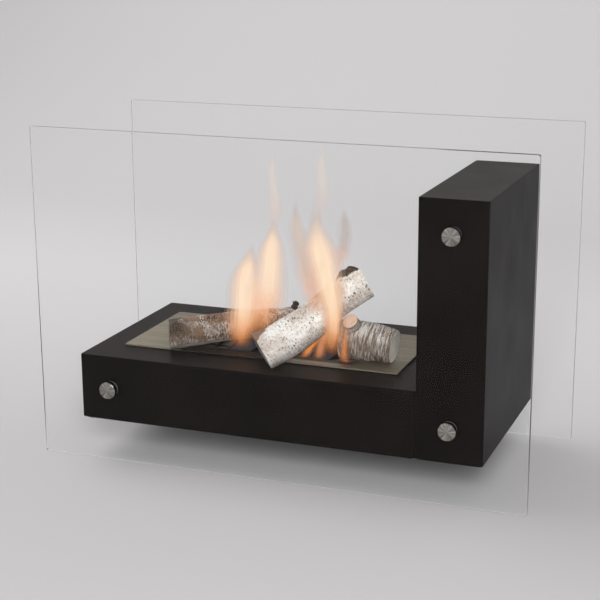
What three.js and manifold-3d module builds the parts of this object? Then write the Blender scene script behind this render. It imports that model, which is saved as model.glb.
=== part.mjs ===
// A free-standing bioethanol fireplace. Two panes of toughened glass stand on the floor
// and carry a folded sheet-steel body between them: a long low hearth with an upright
// column at its right end. A stainless burner drops into the hearth from above, and
// three birch-look ceramic logs lie over it.
// Millimetres, +Z up, the front faces -Y. The origin is on the floor, midway between the
// outermost faces in X and in Y.
import * as THREE from 'three';
import { mergeVertices } from 'three/addons/utils/BufferGeometryUtils.js';
import Module from 'manifold-3d';

const wasm = await Module();
wasm.setup();

// Glass panes
const PANE_WIDTH = 750;
const PANE_HEIGHT = 500;
const PANE_THICKNESS = 5;
const PANE_CORNER_RADIUS = 3;
const PANE_ARRIS = 0.5;
const PANE_HOLE_RADIUS = 7;

// Steel body: the hearth and the column share one depth and one bottom height, and
// stand in from the edges of the panes by the margins
const BODY_DEPTH = 310;
const BODY_BOTTOM = 62;
const SIDE_MARGIN = 65;
const TOP_MARGIN = 66;
const HEARTH_HEIGHT = 99;
const COLUMN_WIDTH = 98;
const SHEET = 2.5;
const FOLD_RADIUS = 2;
const FOLD_EDGE = 0.8;
const LIP_WIDTH = 18;
const COVER_THICKNESS = 2;
const COVER_INSET = 4;

// Glass fixings: each sits half a column width in from the edges of the body
const FIXING_INSET = COLUMN_WIDTH / 2;
const INNER_GASKET = 1.2;
const OUTER_GASKET = 1;
const GASKET_RADIUS = 12;
const CAP_RADIUS = 13;
const CAP_THICKNESS = 8;
const CAP_EDGE = 1;
const SHANK_RADIUS = 4;
const SHANK_REACH = 11;
const THREAD_GAP = 0.3;
const SLEEVE_RADIUS = 6.7;
const NUT_FLANGE_RADIUS = 7.5;
const NUT_FLANGE = 1;
const NUT_BARREL_RADIUS = 5.5;
const NUT_BULGE_RADIUS = 7.2;
const NUT_BULGE = 3;
const NUT_LENGTH = 13;

// Bolts through the seam between the hearth and the column
const SEAM_BOLT_Y = 100;
const SEAM_HEAD_FLATS = 13;
const SEAM_HEAD = 5.3;
const SEAM_NUT = 6.5;
const SEAM_THREAD_SHOWN = 2;

// Screws that hold the bottom covers to the lips of the casings
const SCREW_RADIUS = 2;
const SCREW_HEAD_RADIUS = 3.8;
const SCREW_HEAD = 2.2;
const SCREW_HEAD_SLOPE = 1;
const SCREW_LENGTH = 10;

// Burner flange: its margins to the edges of the hearth, and the rims around its well
const TRAY_END_MARGIN = 44;
const TRAY_SIDE_MARGIN = 59;
const TRAY_THICKNESS = 2;
const TRAY_CORNER_RADIUS = 1.5;
const WELL_END_RIM = 70;
const WELL_SIDE_RIM = 28;
const WELL_DEPTH = 19.3;
const SEAL_THICKNESS = 1.2;
const SEAL_INSET = 6;

// Tank under the well, the overflow pan around it and the cut-out that the pan hangs in
const TANK_WALL = 1.5;
const PAN_END_GAP = 16.5;
const PAN_SIDE_GAP = 10.5;
const PAN_FLOOR_GAP = 8.5;
const CUTOUT_CLEARANCE = 2;
const SEAL_CLEARANCE = 2.5;
const FIT = 0.3;
const WOOL_THICKNESS = 36.5;
const GRID_THICKNESS = 1.5;
const GRID_BORDER = 8;
const GRID_BAR = 4;
const GRID_ROWS = 3;
const GRID_COLUMNS = 6;

// Deck, shutter and rails: the shutter travels half a pitch and then covers each window
// with an overlap on both sides
const DECK_THICKNESS = 1.5;
const SHUTTER_THICKNESS = 1.5;
const SHUTTER_HEADROOM = 0.6;
const SHUTTER_END_GAP = 0.8;
const RAIL_THICKNESS = 1.5;
const RAIL_FOOT = 7.7;
const WINDOW_COUNT = 4;
const WINDOW_SIDE_RIM = 18;
const WINDOW_OVERLAP = 4;
const TAB_INSET = 4.2;
const TAB_THICKNESS = 1.5;
const TAB_WIDTH = 12;
const TAB_HEIGHT = 13;
const TAB_HOLE_RADIUS = 2.5;
const TAB_CLEARANCE = 1;

// Logs: points along each axis from the thick end, with the radius at each point. X and Y
// are from the middle of the burner, and Z from the surface that the log rests on
const LOG_GAP = 0.3;
const LOG_SIDES = 28;
const LOG_RINGS = 14;
const LONG_LOG_AXIS = [[-139, -101, 23.3], [-92, -53, 23.8], [-39, 0, 22.8], [14, 50, 21.3]];
const LONG_LOG_RADII = [24, 23.5, 22.5, 21];
const LEANING_LOG_AXIS = [[18, -123, 23.5], [52, -111, 43], [90, -90, 70], [121, -71, 99], [156, -52, 120]];
const LEANING_LOG_RADII = [31, 30, 27, 25, 21];
const SHORT_LOG_AXIS = [[121, -56, 32.8], [161, -53, 29.3], [201, -50, 24.5]];
const SHORT_LOG_RADII = [32, 29, 24.5];
const STUB_ROOT = [144, -54, 38.8];
const STUB_END = [139, -78, 65.4];
const STUB_RADIUS = 11.5;
const KNOT_ROOT = [5, 41, 25.8];
const KNOT_END = [8, 37, 48.8];
const KNOT_RADIUS = 5;
const STUB_FLARE = 1.1;
// Slant of the saw cut at the thick end, as a share of the reach to either side
const LONG_LOG_SLANT = -0.3;
const LEANING_LOG_SLANT = 0.25;
const SQUARE_CUT = 0;

// Round pieces
const CAP_SIDES = 32;
const RING_SIDES = 20;
const HOLE_SIDES = 20;

// Colours
const BLACK_STEEL = { color: 0x2b2725, roughness: 0.42, metalness: 0.2 };
const STAINLESS = { color: 0x9a958a, roughness: 0.38, metalness: 0.9 };
const POLISHED = { color: 0xc9c6c0, roughness: 0.22, metalness: 1 };
const ZINC = { color: 0xa9abab, roughness: 0.4, metalness: 0.9 };
const CLEAR_GLASS = { color: 0xd5dfdc, roughness: 0.05, metalness: 0, transparent: true, opacity: 0.22 };
const BLACK_RUBBER = { color: 0x1b1b1c, roughness: 0.8, metalness: 0 };
const CLEAR_SILICONE = { color: 0xb9bcb8, roughness: 0.6, metalness: 0 };
const NYLON = { color: 0xd9d6cc, roughness: 0.55, metalness: 0 };
const SEAL_FIBRE = { color: 0x24211f, roughness: 0.95, metalness: 0 };
const WOOL_WHITE = { color: 0xe4e0d6, roughness: 1, metalness: 0 };
const BIRCH = { color: 0xcfc4b6, roughness: 0.85, metalness: 0 };

// Heights and faces that follow from the sizes above
const BODY_LEFT = SIDE_MARGIN - PANE_WIDTH / 2;
const BODY_RIGHT = PANE_WIDTH / 2 - SIDE_MARGIN;
const BODY_FACE = BODY_DEPTH / 2;
const SEAM_X = BODY_RIGHT - COLUMN_WIDTH;
const HEARTH_TOP = BODY_BOTTOM + HEARTH_HEIGHT;
const COLUMN_TOP = PANE_HEIGHT - TOP_MARGIN;
const PANE_INNER_FACE = BODY_FACE + INNER_GASKET;
const LOW_FIXING_Z = BODY_BOTTOM + HEARTH_HEIGHT / 2;
const HIGH_FIXING_Z = COLUMN_TOP - FIXING_INSET;
const BORE_RADIUS = SHANK_RADIUS + THREAD_GAP;
const TRAY_UNDERSIDE = HEARTH_TOP + SEAL_THICKNESS;
const TRAY_TOP = TRAY_UNDERSIDE + TRAY_THICKNESS;
const TRAY_CENTRE_X = (BODY_LEFT + SEAM_X) / 2;
const TRAY_LENGTH = SEAM_X - BODY_LEFT - 2 * TRAY_END_MARGIN;
const TRAY_WIDTH = BODY_DEPTH - 2 * TRAY_SIDE_MARGIN;
const WELL_LENGTH = TRAY_LENGTH - 2 * WELL_END_RIM;
const WELL_WIDTH = TRAY_WIDTH - 2 * WELL_SIDE_RIM;
const PAN_LENGTH = WELL_LENGTH + 2 * (TANK_WALL + PAN_END_GAP);
const PAN_WIDTH = WELL_WIDTH + 2 * (TANK_WALL + PAN_SIDE_GAP);
const RAIL_HEIGHT = RAIL_THICKNESS + FIT + SHUTTER_THICKNESS + SHUTTER_HEADROOM;
const DECK_UNDERSIDE = TRAY_TOP - WELL_DEPTH - DECK_THICKNESS;
const GRID_TOP = DECK_UNDERSIDE - RAIL_HEIGHT;
const WOOL_TOP = GRID_TOP - GRID_THICKNESS;
const TANK_FLOOR = WOOL_TOP - WOOL_THICKNESS;
const TANK_BOTTOM = TANK_FLOOR - TANK_WALL;
const PAN_BOTTOM = TANK_BOTTOM - PAN_FLOOR_GAP - TANK_WALL;
const SHUTTER_UNDERSIDE = GRID_TOP + RAIL_THICKNESS + FIT;
const SHUTTER_START = TRAY_CENTRE_X - WELL_LENGTH / 2 + SHUTTER_END_GAP;
const WINDOW_PITCH = (WELL_LENGTH - 2 * SHUTTER_END_GAP - WINDOW_OVERLAP) / (WINDOW_COUNT + 0.5);
const WINDOW_LENGTH = WINDOW_PITCH / 2 - WINDOW_OVERLAP;
const WINDOW_WIDTH = WELL_WIDTH - 2 * WINDOW_SIDE_RIM;
const WINDOW_FIRST = SHUTTER_START + WINDOW_PITCH - WINDOW_LENGTH;
const SHUTTER_LENGTH = WINDOW_COUNT * WINDOW_PITCH + WINDOW_OVERLAP;
const TAB_X = SHUTTER_START + TAB_INSET;
const SCREW_INSET = (LIP_WIDTH + SHEET) / 2;
const HEARTH_SCREWS = [BODY_LEFT + SCREW_INSET, SEAM_X - SCREW_INSET];
const COLUMN_SCREWS = [SEAM_X + COLUMN_WIDTH / 2];
const FIXINGS = {
  hearth: [BODY_LEFT + FIXING_INSET, LOW_FIXING_Z],
  column_low: [BODY_RIGHT - FIXING_INSET, LOW_FIXING_Z],
  column_high: [BODY_RIGHT - FIXING_INSET, HIGH_FIXING_Z],
};

// Closed geometry to a solid that can be cut and joined
function solidOf(geometry) {
  const bare = geometry.clone();
  bare.deleteAttribute('normal');
  bare.deleteAttribute('uv');
  const merged = mergeVertices(bare, 1e-4);
  return new wasm.Manifold(new wasm.Mesh({
    numProp: 3,
    vertProperties: new Float32Array(merged.attributes.position.array),
    triVerts: new Uint32Array(merged.index.array),
  }));
}

// Solid back to a geometry with flat faces
function geometryOf(solid) {
  const mesh = solid.getMesh();
  const geometry = new THREE.BufferGeometry();
  geometry.setAttribute('position', new THREE.BufferAttribute(mesh.vertProperties, mesh.numProp));
  geometry.setIndex(new THREE.BufferAttribute(mesh.triVerts, 1));
  const faceted = geometry.toNonIndexed();
  faceted.computeVertexNormals();
  return faceted;
}

// Plain block between two corners
function block(low, high) {
  const [x, y, z] = high.map((value, axis) => value - low[axis]);
  const geometry = new THREE.BoxGeometry(x, y, z);
  geometry.translate(low[0] + x / 2, low[1] + y / 2, low[2] + z / 2);
  return solidOf(geometry);
}

// Outline of a rectangle with rounded corners, centred on its own origin
function roundedRectangle(width, height, radius) {
  const shape = new THREE.Shape();
  const x = width / 2;
  const y = height / 2;
  shape.moveTo(-x + radius, -y);
  shape.lineTo(x - radius, -y);
  shape.absarc(x - radius, -y + radius, radius, -Math.PI / 2, 0, false);
  shape.lineTo(x, y - radius);
  shape.absarc(x - radius, y - radius, radius, 0, Math.PI / 2, false);
  shape.lineTo(-x + radius, y);
  shape.absarc(-x + radius, y - radius, radius, Math.PI / 2, Math.PI, false);
  shape.lineTo(-x, -y + radius);
  shape.absarc(-x + radius, -y + radius, radius, Math.PI, Math.PI * 1.5, false);
  return shape;
}

// Block between two corners with its upright edges rounded and its flat edges broken
function softBlock(low, high, radius, edge) {
  const [x, y, z] = high.map((value, axis) => value - low[axis]);
  const geometry = new THREE.ExtrudeGeometry(roundedRectangle(x, y, radius), {
    depth: z - 2 * edge,
    bevelEnabled: edge > 0,
    bevelThickness: edge,
    bevelSize: edge,
    bevelOffset: -edge,
    bevelSegments: 1,
    curveSegments: 3,
  });
  geometry.translate(low[0] + x / 2, low[1] + y / 2, low[2] + edge);
  return solidOf(geometry);
}

// Round rod along one axis ('x', 'y' or 'z') between two positions on it
function rod(axis, radius, from, to, centre) {
  const geometry = new THREE.CylinderGeometry(radius, radius, to - from, HOLE_SIDES);
  if (axis === 'x') geometry.rotateZ(Math.PI / 2);
  if (axis === 'z') geometry.rotateX(Math.PI / 2);
  const middle = (from + to) / 2;
  const place = { x: [middle, ...centre], y: [centre[0], middle, centre[1]], z: [...centre, middle] };
  geometry.translate(...place[axis]);
  return solidOf(geometry);
}

// Piece turned about Y from [radius, y] points that start and end on the axis
function turned(points, sides) {
  return new THREE.LatheGeometry(points.map(([radius, y]) => new THREE.Vector2(radius, y)), sides);
}

// Ring turned about Y, closed on itself
function ring(inner, outer, from, to) {
  return turned([[inner, from], [outer, from], [outer, to], [inner, to], [inner, from]], RING_SIDES);
}

// Named mesh with its own material
function piece(name, geometry, look) {
  const mesh = new THREE.Mesh(geometry, new THREE.MeshStandardMaterial(look));
  mesh.name = name;
  return mesh;
}

// Toughened pane with polished edges and a hole at each fixing
function pane(name, side) {
  const shape = roundedRectangle(PANE_WIDTH, PANE_HEIGHT, PANE_CORNER_RADIUS);
  for (const [x, z] of Object.values(FIXINGS)) {
    const hole = new THREE.Path();
    hole.absarc(x, z - PANE_HEIGHT / 2, PANE_HOLE_RADIUS + PANE_ARRIS, 0, Math.PI * 2, true);
    shape.holes.push(hole);
  }
  const geometry = new THREE.ExtrudeGeometry(shape, {
    depth: PANE_THICKNESS - 2 * PANE_ARRIS,
    bevelThickness: PANE_ARRIS,
    bevelSize: PANE_ARRIS,
    bevelOffset: -PANE_ARRIS,
    bevelSegments: 1,
    curveSegments: HOLE_SIDES / 2,
  });
  geometry.rotateX(Math.PI / 2);
  geometry.translate(0, PANE_THICKNESS - PANE_ARRIS, 0);
  const mesh = piece(name, geometry, CLEAR_GLASS);
  const innerEdge = side < 0 ? -PANE_INNER_FACE - PANE_THICKNESS : PANE_INNER_FACE;
  mesh.position.set(0, innerEdge, PANE_HEIGHT / 2);
  return mesh;
}

// Turned stainless cap in one piece with its threaded shank
function fixingCap() {
  const shoulder = -INNER_GASKET - PANE_THICKNESS - OUTER_GASKET;
  const face = shoulder - CAP_THICKNESS;
  return turned([
    [0, face],
    [CAP_RADIUS - CAP_EDGE, face],
    [CAP_RADIUS, face + CAP_EDGE],
    [CAP_RADIUS, shoulder],
    [SHANK_RADIUS, shoulder],
    [SHANK_RADIUS, SHANK_REACH],
    [0, SHANK_REACH],
  ], CAP_SIDES);
}

// Washer between the cap and the glass
function outerGasket() {
  const inside = -INNER_GASKET - PANE_THICKNESS;
  return ring(BORE_RADIUS, GASKET_RADIUS, inside - OUTER_GASKET, inside);
}

// Bush that keeps the shank off the glass
function glassSleeve() {
  return ring(BORE_RADIUS, SLEEVE_RADIUS, -INNER_GASKET - PANE_THICKNESS, -INNER_GASKET);
}

// Washer between the glass and the steel, around the flange of the rivet nut
function innerGasket() {
  return ring(NUT_FLANGE_RADIUS + FIT, GASKET_RADIUS, -INNER_GASKET, 0);
}

// Rivet nut clamped in the sheet of the body
function rivetNut() {
  return turned([
    [BORE_RADIUS, -NUT_FLANGE],
    [NUT_FLANGE_RADIUS, -NUT_FLANGE],
    [NUT_FLANGE_RADIUS, 0],
    [NUT_BARREL_RADIUS, 0],
    [NUT_BARREL_RADIUS, SHEET],
    [NUT_BULGE_RADIUS, SHEET],
    [NUT_BULGE_RADIUS, SHEET + NUT_BULGE],
    [NUT_BARREL_RADIUS, SHEET + NUT_BULGE],
    [NUT_BARREL_RADIUS, NUT_LENGTH],
    [BORE_RADIUS, NUT_LENGTH],
    [BORE_RADIUS, -NUT_FLANGE],
  ], RING_SIDES);
}

// All pieces of one glass fixing, built about its own axis with -Y outwards
function fixing(sideName, spotName, [x, z]) {
  const group = new THREE.Group();
  const label = `${sideName}_${spotName}`;
  group.add(piece(`cap_${label}`, fixingCap(), POLISHED));
  group.add(piece(`outer_gasket_${label}`, outerGasket(), CLEAR_SILICONE));
  group.add(piece(`sleeve_${label}`, glassSleeve(), NYLON));
  group.add(piece(`inner_gasket_${label}`, innerGasket(), BLACK_RUBBER));
  group.add(piece(`rivet_nut_${label}`, rivetNut(), ZINC));
  const front = sideName === 'front';
  group.position.set(x, front ? -BODY_FACE : BODY_FACE, z);
  group.rotation.z = front ? 0 : Math.PI;
  return group;
}

// Hollow casing of folded sheet, open below inside a lip
function casingShell(left, right, top) {
  const outer = softBlock([left, -BODY_FACE, BODY_BOTTOM], [right, BODY_FACE, top], FOLD_RADIUS, FOLD_EDGE);
  const cavity = block(
    [left + SHEET, -BODY_FACE + SHEET, BODY_BOTTOM + SHEET],
    [right - SHEET, BODY_FACE - SHEET, top - SHEET],
  );
  const mouth = block(
    [left + LIP_WIDTH, -BODY_FACE + LIP_WIDTH, BODY_BOTTOM - SHEET],
    [right - LIP_WIDTH, BODY_FACE - LIP_WIDTH, BODY_BOTTOM + 2 * SHEET],
  );
  return outer.subtract(cavity).subtract(mouth);
}

// Holes for the rivet nuts, through the front and the back sheet at one fixing
function nutHoles(casing, [x, z]) {
  return casing.subtract(rod('y', NUT_BARREL_RADIUS + FIT, -BODY_DEPTH, BODY_DEPTH, [x, z]));
}

// Holes for the seam bolts through one side sheet
function seamHoles(casing) {
  let drilled = casing;
  for (const y of [-SEAM_BOLT_Y, SEAM_BOLT_Y]) {
    const hole = rod('x', BORE_RADIUS, SEAM_X - 2 * SHEET, SEAM_X + 2 * SHEET, [y, LOW_FIXING_Z]);
    drilled = drilled.subtract(hole);
  }
  return drilled;
}

// Places of the screws along the middle of the front and rear lips, at the given X positions
function screwSpots(positions) {
  const y = BODY_FACE - SCREW_INSET;
  return positions.flatMap((x) => [[x, -y], [x, y]]);
}

// Holes for the cover screws, through a casing's lip or through a cover
function screwHoles(sheet, spots) {
  let drilled = sheet;
  for (const spot of spots) {
    const hole = rod('z', SCREW_RADIUS + FIT, BODY_BOTTOM - 2 * SHEET, BODY_BOTTOM + 2 * SHEET, spot);
    drilled = drilled.subtract(hole);
  }
  return drilled;
}

// Low box that holds the burner, with the cut-out it hangs in
function hearthCasing() {
  const halfLength = PAN_LENGTH / 2 + CUTOUT_CLEARANCE;
  const halfWidth = PAN_WIDTH / 2 + CUTOUT_CLEARANCE;
  const cutout = block(
    [TRAY_CENTRE_X - halfLength, -halfWidth, HEARTH_TOP - 2 * SHEET],
    [TRAY_CENTRE_X + halfLength, halfWidth, HEARTH_TOP + SHEET],
  );
  const shell = casingShell(BODY_LEFT, SEAM_X, HEARTH_TOP).subtract(cutout);
  const drilled = screwHoles(seamHoles(nutHoles(shell, FIXINGS.hearth)), screwSpots(HEARTH_SCREWS));
  return piece('hearth_casing', geometryOf(drilled), BLACK_STEEL);
}

// Upright box at the right end
function columnCasing() {
  const shell = casingShell(SEAM_X, BODY_RIGHT, COLUMN_TOP);
  const drilled = nutHoles(nutHoles(seamHoles(shell), FIXINGS.column_low), FIXINGS.column_high);
  const finished = screwHoles(drilled, screwSpots(COLUMN_SCREWS));
  return piece('column_casing', geometryOf(finished), BLACK_STEEL);
}

// Flat cover screwed under a casing
function bottomCover(name, left, right, screws) {
  const sheet = softBlock(
    [left + COVER_INSET, -BODY_FACE + COVER_INSET, BODY_BOTTOM - COVER_THICKNESS],
    [right - COVER_INSET, BODY_FACE - COVER_INSET, BODY_BOTTOM],
    FOLD_RADIUS,
    0,
  );
  return piece(name, geometryOf(screwHoles(sheet, screwSpots(screws))), BLACK_STEEL);
}

// Pan-head screw, pointing up
function coverScrew(name, [x, y]) {
  const geometry = turned([
    [0, -SCREW_HEAD],
    [SCREW_HEAD_RADIUS - SCREW_HEAD_SLOPE, -SCREW_HEAD],
    [SCREW_HEAD_RADIUS, 0],
    [SCREW_RADIUS, 0],
    [SCREW_RADIUS, SCREW_LENGTH],
    [0, SCREW_LENGTH],
  ], HOLE_SIDES / 2);
  const mesh = piece(name, geometry, ZINC);
  mesh.rotation.x = Math.PI / 2;
  mesh.position.set(x, y, BODY_BOTTOM - COVER_THICKNESS);
  return mesh;
}

// Hexagonal block about Z, from zero up
function hexagon(flats, height) {
  return new THREE.CylinderGeometry(flats / Math.sqrt(3), flats / Math.sqrt(3), height, 6)
    .rotateX(Math.PI / 2)
    .translate(0, 0, height / 2);
}

// Hexagon bolt whose head bears on the inside of the hearth, lying along +X
function seamBolt(name, y) {
  const head = solidOf(hexagon(SEAM_HEAD_FLATS, SEAM_HEAD).translate(0, 0, -SEAM_HEAD));
  const shank = rod('z', SHANK_RADIUS, -SEAM_HEAD / 2, 2 * SHEET + SEAM_NUT + SEAM_THREAD_SHOWN, [0, 0]);
  const mesh = piece(name, geometryOf(head.add(shank)), ZINC);
  mesh.rotation.y = Math.PI / 2;
  mesh.position.set(SEAM_X - SHEET, y, LOW_FIXING_Z);
  return mesh;
}

// Nut of a seam bolt, inside the column
function seamNut(name, y) {
  const bore = rod('z', BORE_RADIUS, -SEAM_NUT, 2 * SEAM_NUT, [0, 0]);
  const mesh = piece(name, geometryOf(solidOf(hexagon(SEAM_HEAD_FLATS, SEAM_NUT)).subtract(bore)), ZINC);
  mesh.rotation.y = Math.PI / 2;
  mesh.position.set(SEAM_X + SHEET, y, LOW_FIXING_Z);
  return mesh;
}

// Block centred on the burner in plan
function burnerBlock(length, width, from, to) {
  return block([TRAY_CENTRE_X - length / 2, -width / 2, from], [TRAY_CENTRE_X + length / 2, width / 2, to]);
}

// Brushed flange that shows on the hearth, with the mouth of the burner in it
function burnerTray() {
  const plate = softBlock(
    [TRAY_CENTRE_X - TRAY_LENGTH / 2, -TRAY_WIDTH / 2, TRAY_UNDERSIDE],
    [TRAY_CENTRE_X + TRAY_LENGTH / 2, TRAY_WIDTH / 2, TRAY_TOP],
    TRAY_CORNER_RADIUS,
    0,
  );
  const mouth = burnerBlock(WELL_LENGTH, WELL_WIDTH, HEARTH_TOP, TRAY_TOP + TRAY_THICKNESS);
  return piece('burner_tray', geometryOf(plate.subtract(mouth)), STAINLESS);
}

// Flat fibre seal between the flange and the hearth
function burnerSeal() {
  const outer = burnerBlock(TRAY_LENGTH - 2 * SEAL_INSET, TRAY_WIDTH - 2 * SEAL_INSET, HEARTH_TOP, TRAY_UNDERSIDE);
  const inner = burnerBlock(
    PAN_LENGTH + 2 * SEAL_CLEARANCE,
    PAN_WIDTH + 2 * SEAL_CLEARANCE,
    HEARTH_TOP - SHEET,
    TRAY_TOP,
  );
  return piece('burner_seal', geometryOf(outer.subtract(inner)), SEAL_FIBRE);
}

// Open box of thin sheet, welded by its rim to the underside of the flange
function openBox(name, length, width, bottom) {
  const outer = burnerBlock(length, width, bottom, TRAY_UNDERSIDE);
  const inner = burnerBlock(length - 2 * TANK_WALL, width - 2 * TANK_WALL, bottom + TANK_WALL, TRAY_TOP);
  return piece(name, geometryOf(outer.subtract(inner)), STAINLESS);
}

// Ceramic wool that soaks up the fuel
function fuelWool() {
  const pad = burnerBlock(WELL_LENGTH - 2 * FIT, WELL_WIDTH - 2 * FIT, TANK_FLOOR, WOOL_TOP);
  return piece('ceramic_wool', geometryOf(pad), WOOL_WHITE);
}

// Sheet grid that holds the wool down
function woolGrid() {
  const length = WELL_LENGTH - 2 * FIT;
  const width = WELL_WIDTH - 2 * FIT;
  let sheet = burnerBlock(length, width, WOOL_TOP, GRID_TOP);
  const stepX = (length - 2 * GRID_BORDER + GRID_BAR) / GRID_COLUMNS;
  const stepY = (width - 2 * GRID_BORDER + GRID_BAR) / GRID_ROWS;
  for (let column = 0; column < GRID_COLUMNS; column += 1) {
    for (let row = 0; row < GRID_ROWS; row += 1) {
      const x = TRAY_CENTRE_X - length / 2 + GRID_BORDER + column * stepX;
      const y = -width / 2 + GRID_BORDER + row * stepY;
      const gap = block([x, y, TANK_FLOOR], [x + stepX - GRID_BAR, y + stepY - GRID_BAR, TRAY_TOP]);
      sheet = sheet.subtract(gap);
    }
  }
  return piece('wool_grid', geometryOf(sheet), STAINLESS);
}

// Angle strip along one long wall of the tank: the shutter slides on its foot
function shutterRail(name, side) {
  const left = TRAY_CENTRE_X - WELL_LENGTH / 2 + FIT;
  const right = TRAY_CENTRE_X + WELL_LENGTH / 2 - FIT;
  const wall = side * (WELL_WIDTH / 2 - FIT);
  const footEdge = side * (WELL_WIDTH / 2 - FIT - RAIL_FOOT);
  const legEdge = side * (WELL_WIDTH / 2 - FIT - RAIL_THICKNESS);
  const [footLow, footHigh] = [wall, footEdge].sort((a, b) => a - b);
  const [legLow, legHigh] = [wall, legEdge].sort((a, b) => a - b);
  const foot = block([left, footLow, GRID_TOP], [right, footHigh, GRID_TOP + RAIL_THICKNESS]);
  const leg = block([left, legLow, GRID_TOP], [right, legHigh, DECK_UNDERSIDE]);
  return piece(name, geometryOf(foot.add(leg)), STAINLESS);
}

// Fire windows cut through a sheet
function cutWindows(sheet) {
  let cut = sheet;
  for (let index = 0; index < WINDOW_COUNT; index += 1) {
    const x = WINDOW_FIRST + index * WINDOW_PITCH;
    const gap = block([x, -WINDOW_WIDTH / 2, TANK_FLOOR], [x + WINDOW_LENGTH, WINDOW_WIDTH / 2, TRAY_TOP]);
    cut = cut.subtract(gap);
  }
  return cut;
}

// Fixed plate at the bottom of the well, with the fire windows and the slot of the pull tab
function burnerDeck() {
  const sheet = burnerBlock(
    WELL_LENGTH - 2 * FIT,
    WELL_WIDTH - 2 * FIT,
    DECK_UNDERSIDE,
    DECK_UNDERSIDE + DECK_THICKNESS,
  );
  const slot = block(
    [TAB_X - TAB_CLEARANCE, -TAB_WIDTH / 2 - TAB_CLEARANCE, TANK_FLOOR],
    [WINDOW_FIRST + FIT, TAB_WIDTH / 2 + TAB_CLEARANCE, TRAY_TOP],
  );
  return piece('burner_deck', geometryOf(cutWindows(sheet).subtract(slot)), STAINLESS);
}

// Sliding plate with the same windows; its tab stands up through the slot of the deck
function shutter() {
  const halfWidth = WELL_WIDTH / 2 - 2 * FIT - RAIL_THICKNESS;
  const top = SHUTTER_UNDERSIDE + SHUTTER_THICKNESS;
  const sheet = block(
    [SHUTTER_START, -halfWidth, SHUTTER_UNDERSIDE],
    [SHUTTER_START + SHUTTER_LENGTH, halfWidth, top],
  );
  const tab = block(
    [TAB_X, -TAB_WIDTH / 2, SHUTTER_UNDERSIDE],
    [TAB_X + TAB_THICKNESS, TAB_WIDTH / 2, top + TAB_HEIGHT],
  );
  const hole = rod('x', TAB_HOLE_RADIUS, TAB_X - TAB_THICKNESS, TAB_X + 2 * TAB_THICKNESS, [0, top + TAB_HEIGHT / 2]);
  return piece('shutter', geometryOf(cutWindows(sheet).add(tab).subtract(hole)), STAINLESS);
}

// Waviness of the bark around and along a log, as a share of the radius
function barkWave(angle, along) {
  return 0.02 * Math.sin(2 * angle + 5 * along) + 0.015 * Math.sin(3 * angle - 9 * along + 1);
}

// Point of a log in the frame of the whole part
function logPoint([x, y, z], surface) {
  return new THREE.Vector3(TRAY_CENTRE_X + x, y, surface + z);
}

// Log swept along a gently crooked axis, sawn across at both ends, the thick end at a slant,
// and worn flat where it rests on the surface at the given height
function logSolid(axis, radii, surface, endSlant) {
  const curve = new THREE.CatmullRomCurve3(axis.map((point) => logPoint(point, surface)));
  const vertical = new THREE.Vector3(0, 0, 1);
  const positions = [];
  for (let ringIndex = 0; ringIndex <= LOG_RINGS; ringIndex += 1) {
    const along = ringIndex / LOG_RINGS;
    const centre = curve.getPoint(along);
    const forward = curve.getTangent(along);
    const side = new THREE.Vector3().crossVectors(forward, vertical).normalize();
    const up = new THREE.Vector3().crossVectors(side, forward);
    const slant = ringIndex === 0 ? endSlant : SQUARE_CUT;
    const step = along * (radii.length - 1);
    const index = Math.min(Math.floor(step), radii.length - 2);
    const radius = THREE.MathUtils.lerp(radii[index], radii[index + 1], step - index);
    for (let corner = 0; corner < LOG_SIDES; corner += 1) {
      const angle = (2 * Math.PI * corner) / LOG_SIDES;
      const reach = radius * (1 + barkWave(angle, along));
      const point = centre.clone().addScaledVector(side, reach * Math.cos(angle));
      point.addScaledVector(up, reach * Math.sin(angle));
      point.addScaledVector(forward, slant * reach * Math.cos(angle));
      positions.push(point.x, point.y, Math.max(point.z, surface + LOG_GAP));
    }
  }
  const geometry = new THREE.BufferGeometry();
  geometry.setAttribute('position', new THREE.Float32BufferAttribute(positions, 3));
  geometry.setIndex(logFaces());
  return solidOf(geometry);
}

// Faces of a swept log: the bark between neighbouring rings, then the two sawn ends
function logFaces() {
  const faces = [];
  for (let ringIndex = 0; ringIndex < LOG_RINGS; ringIndex += 1) {
    for (let corner = 0; corner < LOG_SIDES; corner += 1) {
      const here = ringIndex * LOG_SIDES + corner;
      const beside = ringIndex * LOG_SIDES + ((corner + 1) % LOG_SIDES);
      faces.push(here, here + LOG_SIDES, beside, beside, here + LOG_SIDES, beside + LOG_SIDES);
    }
  }
  const last = LOG_RINGS * LOG_SIDES;
  for (let corner = 1; corner < LOG_SIDES - 1; corner += 1) {
    faces.push(0, corner, corner + 1);
    faces.push(last, last + corner + 1, last + corner);
  }
  return faces;
}

// Short round branch from inside a log to its own sawn end
function branchStub(root, end, radius, surface) {
  const from = logPoint(root, surface);
  const to = logPoint(end, surface);
  const direction = to.clone().sub(from);
  const geometry = new THREE.CylinderGeometry(radius, radius * STUB_FLARE, direction.length(), HOLE_SIDES);
  const turn = new THREE.Quaternion().setFromUnitVectors(new THREE.Vector3(0, 1, 0), direction.clone().normalize());
  geometry.applyQuaternion(turn);
  const middle = from.add(to).multiplyScalar(0.5);
  geometry.translate(middle.x, middle.y, middle.z);
  return solidOf(geometry);
}

// Long log that lies across the left half of the burner, with a small knot near its far end
function longLog() {
  const body = logSolid(LONG_LOG_AXIS, LONG_LOG_RADII, TRAY_TOP, LONG_LOG_SLANT);
  const knot = branchStub(KNOT_ROOT, KNOT_END, KNOT_RADIUS, TRAY_TOP);
  return piece('long_log', geometryOf(body.add(knot)), BIRCH);
}

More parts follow.
